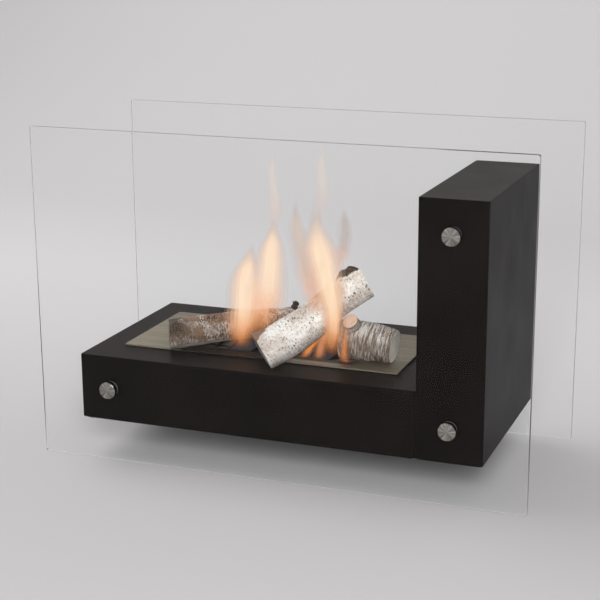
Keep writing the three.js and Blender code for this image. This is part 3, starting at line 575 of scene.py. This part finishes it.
# ---------------------------------------------------------------------------
# Logs: cast refractory ceramic in the shape of sawn birch, painted with white bark, dark
# dashes and brown peeled patches. Each follows its solid's own axis and thickness, and its
# surface is marked with where the bark is peeled or mossy and where shade is painted on.
BARK_SIDES = 140
BARK_STEP = 0.0015
END_RINGS = 12
CLOSED_RING = 0.0001
TRAY_SURFACE = TRAY_BOX[1].z
HEARTH_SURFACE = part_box("hearth_casing")[1].z
REST_GAP = 0.0003
SLANT_SHARE = 1 / 14
SAW_MARK_HEIGHT = 0.0006
SAW_MARKS_PER_METRE = (90, 400)
FRESH_WOOD = 1.0
PINK_WOOD = 0.5
LONG_LOG = {
    "axis": [
        (-0.188, -0.101, 0.1875), (-0.141, -0.053, 0.188), (-0.088, 0.0, 0.187),
        (-0.035, 0.050, 0.1855),
    ],
    "radii": [0.024, 0.0235, 0.0225, 0.021],
    "surface": TRAY_SURFACE,
    "slant": -0.3,
}
LEANING_LOG = {
    "axis": [
        (-0.031, -0.123, 0.1845),
        (0.003, -0.111, 0.204),
        (0.041, -0.090, 0.231),
        (0.072, -0.071, 0.260),
        (0.107, -0.052, 0.281),
    ],
    "radii": [0.031, 0.030, 0.027, 0.025, 0.021],
    "surface": HEARTH_SURFACE,
    "slant": 0.25,
}
SHORT_LOG = {
    "axis": [(0.072, -0.056, 0.197), (0.112, -0.053, 0.1935), (0.152, -0.050, 0.1887)],
    "radii": [0.032, 0.029, 0.0245],
    "surface": TRAY_SURFACE,
    "far_slant": 0.12,
}
KNOT = {"axis": [(-0.044, 0.041, 0.190), (-0.0395, 0.037, 0.2165)], "radii": [0.0085, 0.0056]}
STUB = {
    "axis": [(0.095, -0.054, 0.203), (0.090, -0.078, 0.2296)],
    "radii": [0.01265, 0.0115],
    "wood": PINK_WOOD,
}


def extruded(shape, edges, change):
    """Extrudes a ring of edges, moves the new ring by the matrix and returns its edges."""
    grown = bmesh.ops.extrude_edge_only(shape, edges=edges)["geom"]
    corners = [part for part in grown if isinstance(part, bmesh.types.BMVert)]
    bmesh.ops.transform(shape, matrix=change, verts=corners)
    return [part for part in grown if isinstance(part, bmesh.types.BMEdge)]


def straight_rod(sides, steps, end_rings):
    """Unit rod along Z from 0 to 1, of radius 1, whose ends close in ring by ring."""
    shape = bmesh.new()
    bmesh.ops.create_circle(shape, segments=sides, radius=1.0)
    foot = list(shape.edges)
    rim = foot
    for step in range(steps):
        rim = extruded(shape, rim, Matrix.Translation((0.0, 0.0, 1.0 / steps)))
    for edges in (foot, rim):
        for ring in range(end_rings, 0, -1):
            share = max((ring - 1) / ring, CLOSED_RING)
            edges = extruded(shape, edges, Matrix.Diagonal((share, share, 1.0, 1.0)))
    bmesh.ops.remove_doubles(shape, verts=shape.verts, dist=0.001)
    bmesh.ops.recalc_face_normals(shape, faces=shape.faces)
    return shape


def axis_point(points, along):
    """Point and direction of a smooth curve through the axis points, as the solid has it."""
    last = len(points) - 1
    position = min(max(along, 0.0), 1.0) * last
    index = min(int(floor(position)), last - 1)
    share = position - index
    here = [Vector(point) for point in points]
    before = here[index - 1] if index > 0 else here[0] * 2 - here[1]
    after = here[index + 2] if index + 2 <= last else here[last] * 2 - here[last - 1]
    near, far = here[index], here[index + 1]
    gaps = [max((b - a).length ** 0.5, 1e-6) for a, b in ((before, near), (near, far), (far, after))]
    leave = (near - before) / gaps[0] - (far - before) / (gaps[0] + gaps[1]) + (far - near) / gaps[1]
    arrive = (far - near) / gaps[1] - (after - near) / (gaps[1] + gaps[2]) + (after - far) / gaps[2]
    leave, arrive = leave * gaps[1], arrive * gaps[1]
    square, cube = share * share, share * share * share
    point = near + leave * share + (far * 3 - near * 3 - leave * 2 - arrive) * square
    point += (near * 2 - far * 2 + leave + arrive) * cube
    slope = leave + (far * 3 - near * 3 - leave * 2 - arrive) * 2 * share
    slope += (near * 2 - far * 2 + leave + arrive) * 3 * square
    return point, slope.normalized()


def radius_at(radii, along):
    step = min(max(along, 0.0), 1.0) * (len(radii) - 1)
    index = min(int(step), len(radii) - 2)
    return radii[index] + (radii[index + 1] - radii[index]) * (step - index)


def bark_wave(angle, along):
    return 0.02 * sin(2 * angle + 5 * along) + 0.015 * sin(3 * angle - 9 * along + 1)


def band(value, low, high, soft):
    """1 between low and high, falling to 0 over the soft distance outside."""
    inside = min(value - low, high - value)
    return min(max(inside / soft + 1.0, 0.0), 1.0)


def turn_between(angle, middle):
    """Signed angle from a direction round the log, from -pi to pi."""
    return (angle - middle + pi) % (2 * pi) - pi


def grown_log(log, features, sides=BARK_SIDES):
    """Bends a straight rod on to the log's axis and gives its bark relief, with marks for paint."""
    points, radii = log["axis"], log["radii"]
    length = sum((Vector(b) - Vector(a)).length for a, b in zip(points, points[1:]))
    shape = straight_rod(sides, max(int(length / BARK_STEP), 4), END_RINGS)
    grain = shape.verts.layers.float_vector.new("grain")
    marks = shape.verts.layers.float_vector.new("marks")
    sawn = shape.faces.layers.float.new("sawn")
    for face in shape.faces:
        heights = [corner.co.z for corner in face.verts]
        on_end = max(heights) - min(heights) < 0.0001
        face[sawn] = log.get("wood", FRESH_WOOD) if on_end else 0.0
    for edge in shape.edges:
        if len({face[sawn] > 0 for face in edge.link_faces}) == 2:
            edge.smooth = False
    for corner in shape.verts:
        along = corner.co.z
        share = min(corner.co.xy.length, 1.0)
        angle = atan2(corner.co.y, corner.co.x)
        centre, forward = axis_point(points, along)
        side = forward.cross(Vector((0.0, 0.0, 1.0))).normalized()
        over = side.cross(forward)
        radius = radius_at(radii, along)
        ruler = Vector((along * length, radius * share * cos(angle), radius * share * sin(angle)))
        relief, paint = features(along, angle, share, ruler)
        reach = (radius * (1 + bark_wave(angle, along)) + relief) * share
        front = reach * cos(angle)
        slide = log.get("slant", 0.0) * max(1 - along / SLANT_SHARE, 0.0) * front
        slide -= log.get("far_slant", 0.0) * max(1 - (1 - along) / SLANT_SHARE, 0.0) * (front + radius)
        if share < 0.95 and min(along, 1 - along) < 0.001:
            across, up = SAW_MARKS_PER_METRE
            slide += noise.noise(Vector((ruler.y * across, ruler.z * up, along))) * SAW_MARK_HEIGHT
        place = centre + side * front + over * (reach * sin(angle)) + forward * slide
        place.z = max(place.z, log.get("surface", 0.0) + REST_GAP)
        corner.co = place
        corner[grain] = ruler
        corner[marks] = Vector(paint)
    return smoothed(shape)


# The bark of each log, as relief in metres and paint marks (peeled, painted shade, mossy). Turns are
# in radians round the log, 0 at its front and pi / 2 on top; along runs from 0 to 1.
PATCH_TURN = 1.62
SPLIT_TURN = -0.95
PEELED_DEPTH = 0.0011
FLAP_LIFT = 0.004
SPLIT_DEPTH = 0.0014
TORN_END = 0.27
TORN_TURN = 0.63
TORN_TWIST = 1.3
TORN_DEPTH = 0.0012
BURL_TURN = 1.95
BURL_HEIGHT = 0.0135
CREASE_HEIGHT = 0.0006
BURR_MARK = 1.25


def long_log_bark(along, angle, share, ruler):
    """Peeled patch near the left end, moss there, a split strip along the underside, and painted shade on the
    underside, the left end and its sawn face.
    """
    lumps = noise.noise(ruler * 45) * 0.0008 - 0.0004
    torn = noise.noise(ruler * 150) * 0.22
    flap = band(along, 0.11, 0.22, 0.05) * band(turn_between(angle, PATCH_TURN), -0.55, 0.42, 0.35)
    peeled = 1.0 if flap + torn > 0.72 else 0.0
    lifted = max(flap - 0.55, 0.0) * (1 - peeled) * FLAP_LIFT
    split = band(turn_between(angle, SPLIT_TURN), -0.5, 0.34 + torn * 0.25, 0.02)
    split = 1.0 if split * band(along, -1.0, 0.62, 0.02) > 0.5 else 0.0
    moss_and_end_shade = band(along, -1.0, 0.05, 0.10) * band(turn_between(angle, 1.4), -0.9, 0.9, 0.5)
    shade_and_dulling = 0.88 * band(along, -1.0, 0.14, 0.16) * band(turn_between(angle, 0.0), -1.0, 0.9, 0.5)
    shade_and_dulling = max(shade_and_dulling, 0.72 * band(turn_between(angle, -0.35), -0.9, 0.75, 0.7)) * (1 - split)
    # The left sawn face is painted dark, as shade, in the moss colour.
    if share < 0.98 and along < 0.001:
        moss_and_end_shade, shade_and_dulling = 0.75, 0.9
    relief = lumps + lifted - PEELED_DEPTH * peeled - SPLIT_DEPTH * split
    return relief, (max(peeled, split * 0.5), shade_and_dulling, moss_and_end_shade)


def leaning_log_bark(along, angle, share, ruler):
    """Bark torn off the top of the thick end, a rough dark burl on top of the thin end, and painted shade
    under its middle and on its low sawn face.
    """
    lumps = noise.noise(ruler * 40 + Vector((3, 1, 4))) * 0.0010 - 0.0005
    torn = noise.noise(Vector((ruler.x * 60, angle * 7, 2.0))) * 0.3
    edge = turn_between(angle, TORN_TURN + TORN_TWIST * max(along, 0.0) / TORN_END)
    peeled = 1.0 if along < TORN_END and 0 < edge + torn < 1.9 else 0.0
    burl = band(along, 0.85, 0.95, 0.06) * band(turn_between(angle, BURL_TURN), -0.30, 0.42, 0.30)
    knobs = 0.80 + 0.30 * noise.noise(ruler * 120) + 0.08 * noise.noise(ruler * 420)
    shade_and_dulling = 0.50 * band(turn_between(angle, -1.0), -0.7, 0.5, 0.5) * band(along, 0.2, 0.55, 0.2)
    moss_and_end_shade = BURR_MARK if burl > 0.25 else 0.0
    # The low sawn face is painted dark, as shade, in the moss colour.
    if share < 0.98 and along < 0.001:
        shade_and_dulling, moss_and_end_shade = 0.75, 0.85 * band(turn_between(angle, 1.5), -1.0, 1.0, 0.5)
    return lumps - TORN_DEPTH * peeled + burl ** 0.7 * knobs * BURL_HEIGHT, (peeled, shade_and_dulling, moss_and_end_shade)


def short_log_bark(along, angle, share, ruler):
    """Bark creased across, with painted shade on its underside and towards its left end, and dulled a little
    all over.
    """
    creases = noise.noise(Vector((ruler.x * 210, ruler.y * 26, ruler.z * 26)))
    lumps = noise.noise(ruler * 50 + Vector((7, 2, 9))) * 0.0007 - 0.0005
    shade_and_dulling = 0.95 * band(turn_between(angle, -0.9), -1.2, 0.95, 0.8)
    shade_and_dulling = max(shade_and_dulling, 0.7 * band(along, -1.0, 0.2, 0.2), 0.35) if share > 0.98 else 0.0
    return lumps + creases * CREASE_HEIGHT, (0.0, shade_and_dulling, 0.0)


def stub_bark(along, angle, share, ruler):
    return noise.noise(ruler * 160) * 0.0004, (0.0, 0.35 if share > 0.98 else 0.0, 0.0)


def knot_bark(along, angle, share, ruler):
    knobs = noise.noise(ruler * 230) * 0.0045 - 0.0022 * along
    return knobs, (0.0, 0.6, BURR_MARK)


BARK_WHITE = (0.86, 0.84, 0.81, 1.0)
BARK_CREAM = (0.55, 0.485, 0.42, 1.0)
BARK_PINK = (0.31, 0.195, 0.14, 1.0)
BARK_DASH = (0.035, 0.024, 0.020, 1.0)
BARK_INNER = (0.16, 0.075, 0.048, 1.0)
BARK_FLECK = (0.115, 0.070, 0.048, 1.0)
BARK_BROWN_AND_SHADE = (0.135, 0.095, 0.068, 1.0)
BARK_MOSS_AND_SHADE = (0.040, 0.030, 0.022, 1.0)
WOOD_WHITE = (0.95, 0.92, 0.86, 1.0)
WOOD_SPLIT = (0.46, 0.42, 0.37, 1.0)
WOOD_RING = (0.82, 0.74, 0.62, 1.0)
WOOD_PINK = (0.66, 0.45, 0.35, 1.0)
TINTS_PER_METRE = (26.0, 30.0, 30.0)
SPECKS_PER_METRE = 260.0
SHREDS_PER_METRE = (700.0, 70.0, 70.0)
FLECKS_PER_METRE = (430.0, 230.0, 230.0)
FLECK_CROWDS_PER_METRE = 42.0
DASHES_PER_METRE = (360.0, 130.0, 130.0)
DASH_CROWDS_PER_METRE = 70.0
CRACKS_PER_METRE = (430.0, 34.0, 34.0)
GRAIN_PER_METRE = (1500.0, 300.0, 300.0)
SHADE_MOTTLE_PER_METRE = (420.0, 85.0, 85.0)
FRAY_PER_METRE = 620.0
RING_RADIANS_PER_METRE = 2900.0
RING_WOBBLE = 0.003
RING_WOBBLES_PER_METRE = 90.0
BARK_DEPTH = 0.0009


def cells_at(tree, where, per_metre):
    """Distance to the middle of the nearest cell, for cells of the given number each way."""
    inputs = {"Vector": stretched(tree, where, per_metre), "Scale": 1.0}
    return put(tree, "TexVoronoi", inputs).outputs["Distance"]


bark, given, result = new_group(
    "birch_bark",
    [("Grain", "Vector", None), ("Warmth", "Float", 0.4), ("Dashes", "Float", 0.5), ("Cracks", "Float", 0.0)],
    [("Colour", "Color"), ("Height", "Float")],
)
tint = noise_at(bark, stretched(bark, given["Grain"], TINTS_PER_METRE), 1.0, 5.0, 0.62)
tint_mask = times(bark, ramp(bark, tint, 0.38, 0.62), given["Warmth"])
speck = noise_at(bark, given["Grain"], SPECKS_PER_METRE, 4.0, 0.6)
paint = blended(bark, ramp(bark, speck, 0.42, 0.74, 0.0, 0.8), BARK_WHITE, BARK_CREAM)
paint = blended(bark, times(bark, tint_mask, 1.3), paint, BARK_PINK)
shreds = noise_at(bark, stretched(bark, given["Grain"], SHREDS_PER_METRE), 1.0, 3.0, 0.6)
paint = blended(bark, ramp(bark, shreds, 0.55, 0.70, 0.0, 0.5), paint, BARK_PINK)
fleck_crowds = noise_at(bark, given["Grain"], FLECK_CROWDS_PER_METRE, 3.0)
fleck_size = ramp(bark, fleck_crowds, 0.38, 0.60, 0.10, 0.40)
fleck_size = times(bark, fleck_size, given["Dashes"])
flecked = maths(bark, "LESS_THAN", cells_at(bark, given["Grain"], FLECKS_PER_METRE), fleck_size)
paint = blended(bark, times(bark, flecked, 0.8), paint, BARK_FLECK)
dash_crowds = noise_at(bark, given["Grain"], DASH_CROWDS_PER_METRE, 2.0)
dash_size = ramp(bark, dash_crowds, 0.35, 0.7, 0.10, 0.38)
dash_size = times(bark, dash_size, given["Dashes"])
inked = maths(bark, "LESS_THAN", cells_at(bark, given["Grain"], DASHES_PER_METRE), dash_size)
paint = blended(bark, times(bark, inked, 0.92), paint, BARK_DASH)
crack_noise = noise_at(bark, stretched(bark, given["Grain"], CRACKS_PER_METRE), 1.0, 4.0, 0.62)
crack = times(bark, ramp(bark, crack_noise, 0.51, 0.60), given["Cracks"])
paint = blended(bark, times(bark, crack, 0.85), paint, BARK_BROWN_AND_SHADE)
feed(bark, result["Colour"], paint)
fine = noise_at(bark, stretched(bark, given["Grain"], GRAIN_PER_METRE), 1.0, 3.0)
relief = maths(bark, "SUBTRACT", times(bark, fine, 0.45), times(bark, inked, 0.5))
feed(bark, result["Height"], maths(bark, "SUBTRACT", relief, crack))


def birch_finish(name, warmth, dashes, cracks):
    """Painted birch: bark round the log, rings on its sawn ends, peeled and mossy marks, and painted shade.
    """
    finish, tree, shader, where = new_finish(name, Specular_IOR_Level=0.25)
    ruler = put(tree, "Attribute", attribute_name="grain").outputs["Vector"]
    marks = put(tree, "Attribute", attribute_name="marks").outputs["Vector"]
    marked = parts_of(tree, marks)
    skin = use_group(tree, bark, {"Grain": ruler, "Warmth": warmth, "Dashes": dashes, "Cracks": cracks})
    colour = skin["Colour"]
    fray = noise_at(tree, ruler, FRAY_PER_METRE, 3.0, 0.6)
    inner = blended(tree, ramp(tree, fray, 0.35, 0.62), BARK_INNER, BARK_PINK)
    colour = blended(tree, ramp(tree, marked["X"], 0.75, 0.95), colour, inner)
    pale = ramp(tree, marked["X"], 0.6, 0.75, 0.9, 0.0)
    pale = times(tree, ramp(tree, marked["X"], 0.2, 0.45), pale)
    colour = blended(tree, pale, colour, WOOD_SPLIT)
    cut = put(tree, "Attribute", attribute_name="sawn").outputs["Fac"]
    flat = stretched(tree, ruler, (0.0, 1.0, 1.0))
    distance = put(tree, "VectorMath", {"Vector": flat}, operation="LENGTH").outputs["Value"]
    wobble = times(tree, noise_at(tree, ruler, RING_WOBBLES_PER_METRE), RING_WOBBLE)
    out = maths(tree, "ADD", distance, wobble)
    ring = ramp(tree, maths(tree, "SINE", times(tree, out, RING_RADIANS_PER_METRE)), -0.4, 1.0)
    wood = blended(tree, times(tree, ring, 0.45), WOOD_WHITE, WOOD_RING)
    wood = blended(tree, ramp(tree, cut, 0.6, 0.9, 0.85, 0.0), wood, WOOD_PINK)
    colour = blended(tree, ramp(tree, cut, 0.1, 0.3), colour, wood)
    shade_mottle = noise_at(tree, stretched(tree, ruler, SHADE_MOTTLE_PER_METRE), 1.0, 4.0, 0.62)
    # Painted shade, mottled, on the logs' undersides and dark sawn faces; the stub and knot are dulled
    # evenly.
    shade_and_dulling_mask = times(tree, marked["Y"], ramp(tree, shade_mottle, 0.30, 0.62, 0.50, 1.0))
    colour = blended(tree, shade_and_dulling_mask, colour, BARK_BROWN_AND_SHADE)
    # Moss on the bark, and painted shade on the dark sawn faces, in the moss colour.
    moss_and_end_shade = times(tree, marked["Z"], ramp(tree, fray, 0.36, 0.50))
    colour = blended(tree, moss_and_end_shade, colour, BARK_MOSS_AND_SHADE)
    burr = blended(tree, ramp(tree, fray, 0.46, 0.66), BARK_MOSS_AND_SHADE, BARK_BROWN_AND_SHADE)
    colour = blended(tree, ramp(tree, marked["Z"], 1.02, 1.15), colour, burr)
    feed(tree, shader.inputs["Base Color"], colour)
    feed(tree, shader.inputs["Roughness"], ramp(tree, fray, 0.2, 0.8, 0.72, 0.92))
    feed(tree, shader.inputs["Normal"], raised(tree, skin["Height"], BARK_DEPTH))
    return finish


def take_in(shape, other):
    """Adds another bmesh's shape to this one."""
    mesh = bpy.data.meshes.new("part")
    other.to_mesh(mesh)
    other.free()
    shape.from_mesh(mesh)
    bpy.data.meshes.remove(mesh)


def finished_log(node, log, features, finish, fork=None, fork_features=None):
    """Log in place of its solid, on the same body."""
    shape = grown_log(log, features)
    if fork:
        take_in(shape, grown_log(fork, fork_features, sides=48))
    piece = new_piece("birch_" + node, shape, finish)
    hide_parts(node)
    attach(piece, node)


long_birch = birch_finish("birch_long", warmth=1.0, dashes=1.35, cracks=0.25)
leaning_birch = birch_finish("birch_leaning", warmth=0.36, dashes=0.74, cracks=0.0)
short_birch = birch_finish("birch_short", warmth=0.35, dashes=0.7, cracks=1.0)
finished_log("long_log", LONG_LOG, long_log_bark, long_birch, KNOT, knot_bark)
finished_log("leaning_log", LEANING_LOG, leaning_log_bark, leaning_birch)
finished_log("short_log", SHORT_LOG, short_log_bark, short_birch, STUB, stub_bark)


# ---------------------------------------------------------------------------
# Flames: burning vapour above the open windows of the burner. Each tongue is a stack of
# thin clear shells, faint and grey outside, orange further in and cream at the core.
# A tongue has its middle line, half widths, heat (under 0 for an orange lick) and body.
TONGUES = [
    {  # low left tongue
        "axis": [
            (-0.090, -0.062, 0.156), (-0.089, -0.062, 0.185), (-0.082, -0.064, 0.217),
            (-0.080, -0.064, 0.249), (-0.079, -0.064, 0.275), (-0.074, -0.064, 0.300),
            (-0.066, -0.064, 0.330),
        ],
        "radii": [0.014, 0.0225, 0.0325, 0.0335, 0.0270, 0.0160, 0.0008],
        "heat": 1.0,
        "body": 1.0,
    },
    {  # high left tongue, which runs into the low one
        "axis": [
            (-0.062, -0.064, 0.168), (-0.053, -0.066, 0.217), (-0.045, -0.066, 0.255),
            (-0.039, -0.066, 0.291), (-0.037, -0.066, 0.319), (-0.034, -0.066, 0.343),
            (-0.031, -0.066, 0.372),
        ],
        "radii": [0.020, 0.0325, 0.0345, 0.0290, 0.023, 0.013, 0.0008],
        "heat": 0.85,
        "body": 0.85,
    },
    {  # tall middle tongue, drawn round the front of the leaning log
        "axis": [
            (0.054, -0.062, 0.156), (0.064, -0.085, 0.192), (0.075, -0.108, 0.222),
            (0.077, -0.114, 0.251), (0.070, -0.114, 0.283), (0.062, -0.110, 0.313),
            (0.053, -0.104, 0.340), (0.047, -0.100, 0.367), (0.045, -0.098, 0.408),
        ],
        "radii": [0.0250, 0.0215, 0.0175, 0.0195, 0.0290, 0.0325, 0.0270, 0.0160, 0.0008],
        "heat": 1.0,
        "body": 1.0,
    },
    {  # left side of the tall tongue
        "axis": [
            (0.057, -0.112, 0.226), (0.047, -0.112, 0.268), (0.036, -0.108, 0.304),
            (0.026, -0.104, 0.335), (0.018, -0.100, 0.360), (0.014, -0.098, 0.382),
            (0.015, -0.096, 0.408),
        ],
        "radii": [0.0121, 0.0205, 0.0230, 0.0195, 0.0140, 0.0085, 0.0008],
        "heat": 0.3,
        "body": 0.5,
    },
    {  # smoky tongue at the right
        "axis": [
            (0.068, -0.084, 0.295), (0.076, -0.072, 0.329), (0.078, -0.068, 0.352),
            (0.077, -0.066, 0.372), (0.075, -0.064, 0.394),
        ],
        "radii": [0.0081, 0.0130, 0.0146, 0.0110, 0.0008],
        "heat": 0.12,
        "body": 0.34,
    },
    {  # low licks between the logs
        "axis": [
            (0.010, -0.066, 0.158), (0.026, -0.076, 0.180), (0.041, -0.084, 0.199),
            (0.052, -0.090, 0.220),
        ],
        "radii": [0.0101, 0.0080, 0.0060, 0.0008],
        "heat": -0.8,
        "body": 0.7,
    },
    {
        "axis": [
            (0.034, -0.062, 0.156), (0.044, -0.076, 0.185), (0.056, -0.092, 0.213),
            (0.066, -0.104, 0.241),
        ],
        "radii": [0.0116, 0.0099, 0.0068, 0.0008],
        "heat": -0.6,
        "body": 0.7,
    },
    {
        "axis": [
            (0.080, -0.064, 0.156), (0.084, -0.088, 0.180), (0.088, -0.094, 0.204),
            (0.090, -0.096, 0.236),
        ],
        "radii": [0.0119, 0.0087, 0.0056, 0.0008],
        "heat": -0.7,
        "body": 0.38,
    },
    {  # faint plumes of hot gas above the tips
        "axis": [
            (-0.036, -0.066, 0.335), (-0.031, -0.062, 0.390), (-0.037, -0.058, 0.431),
            (-0.032, -0.056, 0.478),
        ],
        "radii": [0.0094, 0.0135, 0.0104, 0.0008],
        "heat": 0.75,
        "body": 0.10,
    },
    {
        "axis": [
            (0.047, -0.098, 0.370), (0.053, -0.090, 0.420), (0.047, -0.082, 0.452),
            (0.052, -0.076, 0.486),
        ],
        "radii": [0.012, 0.0145, 0.0115, 0.0008],
        "heat": 0.75,
        "body": 0.10,
    },
]
TONGUE_SIDES = 28
TONGUE_STEPS = 44
TONGUE_DEPTH = 0.62
FOOT_ROUNDING = 0.10
FLUTTER = 0.16
FLUTTER_ROUND = 0.9
FLUTTER_PER_METRE = (20, 34)
SHELL_SHRINK = 0.28
FLAME_GLOW = 1.15
FLAME_SMOKE = (0.36, 0.28, 0.26, 1.0)
FLAME_ORANGE = (0.88, 0.285, 0.062, 1.0)
FLAME_BLUE = (0.12, 0.13, 0.30, 1.0)
WISPS_PER_METRE = (90.0, 90.0, 14.0)
MOST_SHELLS_CROSSED = 48
SHELLS = [
    {"scale": 1.00, "opacity": 0.08, "colour": (0.52, 0.38, 0.32, 1.0)},
    {"scale": 0.84, "opacity": 0.13, "colour": (0.82, 0.50, 0.33, 1.0)},
    {"scale": 0.66, "opacity": 0.20, "colour": (0.98, 0.62, 0.38, 1.0)},
    {"scale": 0.48, "opacity": 0.30, "colour": (1.0, 0.74, 0.50, 1.0)},
    {"scale": 0.30, "opacity": 0.42, "colour": (1.0, 0.83, 0.62, 1.0)},
]

veil, given, result = new_group(
    "flame_veil",
    [("Place", "Vector", None), ("Rise", "Float", 0.5), ("Heat", "Float", 1.0), ("Body", "Float", 1.0),
     ("Opacity", "Float", 0.2), ("Tint", "Color", (1.0, 0.7, 0.4, 1.0))],
    [("Alpha", "Float"), ("Colour", "Color")],
)
wisp = noise_at(veil, stretched(veil, given["Place"], WISPS_PER_METRE), 1.0, 3.0, 0.55)
tip_fade = ramp(veil, given["Rise"], 0.74, 1.0, 1.0, 0.28)
fade = times(veil, ramp(veil, given["Rise"], 0.0, 0.34), tip_fade)
density = times(veil, fade, ramp(veil, wisp, 0.32, 0.66, 0.55, 1.0))
strength = times(veil, given["Body"], given["Opacity"])
feed(veil, result["Alpha"], times(veil, density, strength))
tip_cool = ramp(veil, given["Rise"], 0.76, 1.0, 1.0, 0.20)
warmth = times(veil, ramp(veil, given["Heat"], 0.0, 0.7), tip_cool)
warm = blended(veil, warmth, FLAME_SMOKE, given["Tint"])
low_ember = ramp(veil, given["Rise"], 0.08, 0.46, 0.9, 0.0)
ember = maths(veil, "MAXIMUM", low_ember, ramp(veil, given["Heat"], -1.0, 0.0, 1.0, 0.0))
warm = blended(veil, ember, warm, FLAME_ORANGE)
blue_foot = ramp(veil, given["Rise"], 0.0, 0.10, 0.8, 0.0)
feed(veil, result["Colour"], blended(veil, blue_foot, warm, FLAME_BLUE))


def flame_finish(name, opacity, tint):
    """One shell of the flames: clear at its foot and tip, with upright wisps between."""
    finish, tree, shader, where = new_finish(name, Roughness=1.0, Specular_IOR_Level=0.0)
    shader.inputs["Base Color"].default_value = (0.0, 0.0, 0.0, 1.0)
    lit = {"Place": where, "Opacity": opacity, "Tint": tint}
    for socket, mark in (("Rise", "rise"), ("Heat", "glow"), ("Body", "body")):
        lit[socket] = put(tree, "Attribute", attribute_name=mark).outputs["Fac"]
    seen = use_group(tree, veil, lit)
    feed(tree, shader.inputs["Alpha"], seen["Alpha"])
    feed(tree, shader.inputs["Emission Color"], seen["Colour"])
    shader.inputs["Emission Strength"].default_value = FLAME_GLOW
    return finish


def tongue(flame, scale):
    """One closed shell of a tongue, its sides fluttering more towards the tip."""
    shape = straight_rod(TONGUE_SIDES, TONGUE_STEPS, 3)
    rise = shape.verts.layers.float.new("rise")
    glow = shape.verts.layers.float.new("glow")
    body = shape.verts.layers.float.new("body")
    for corner in shape.verts:
        along = 0.5 + (corner.co.z - 0.5) * (1 - SHELL_SHRINK + SHELL_SHRINK * scale)
        centre, forward = axis_point(flame["axis"], along)
        foot = min(corner.co.z / FOOT_ROUNDING, 1.0)
        reach = radius_at(flame["radii"], along) * scale * max(1 - (1 - foot) ** 2, 0.0) ** 0.5
        around = corner.co.xy.normalized() if corner.co.xy.length > 0.001 else corner.co.xy
        height = centre.z * FLUTTER_PER_METRE[1] + centre.x * FLUTTER_PER_METRE[0]
        flutter = noise.noise(Vector((around.x * FLUTTER_ROUND, around.y * FLUTTER_ROUND, height)))
        reach *= 1 + flutter * FLUTTER * (0.4 + along)
        corner[rise] = along
        corner[glow] = flame["heat"]
        corner[body] = flame["body"]
        corner.co = centre + Vector((corner.co.x * reach, corner.co.y * reach * TONGUE_DEPTH, 0.0))
    return smoothed(shape)


for number, shell in enumerate(SHELLS, start=1):
    shell_finish = flame_finish("flame_" + str(number), shell["opacity"], shell["colour"])
    gathered = tongue(TONGUES[0], shell["scale"])
    for flame in TONGUES[1:]:
        take_in(gathered, tongue(flame, shell["scale"]))
    piece = new_piece("flame_shell_" + str(number), gathered, shell_finish)
    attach(piece, "burner")
bpy.context.scene.cycles.transparent_max_bounces = MOST_SHELLS_CROSSED
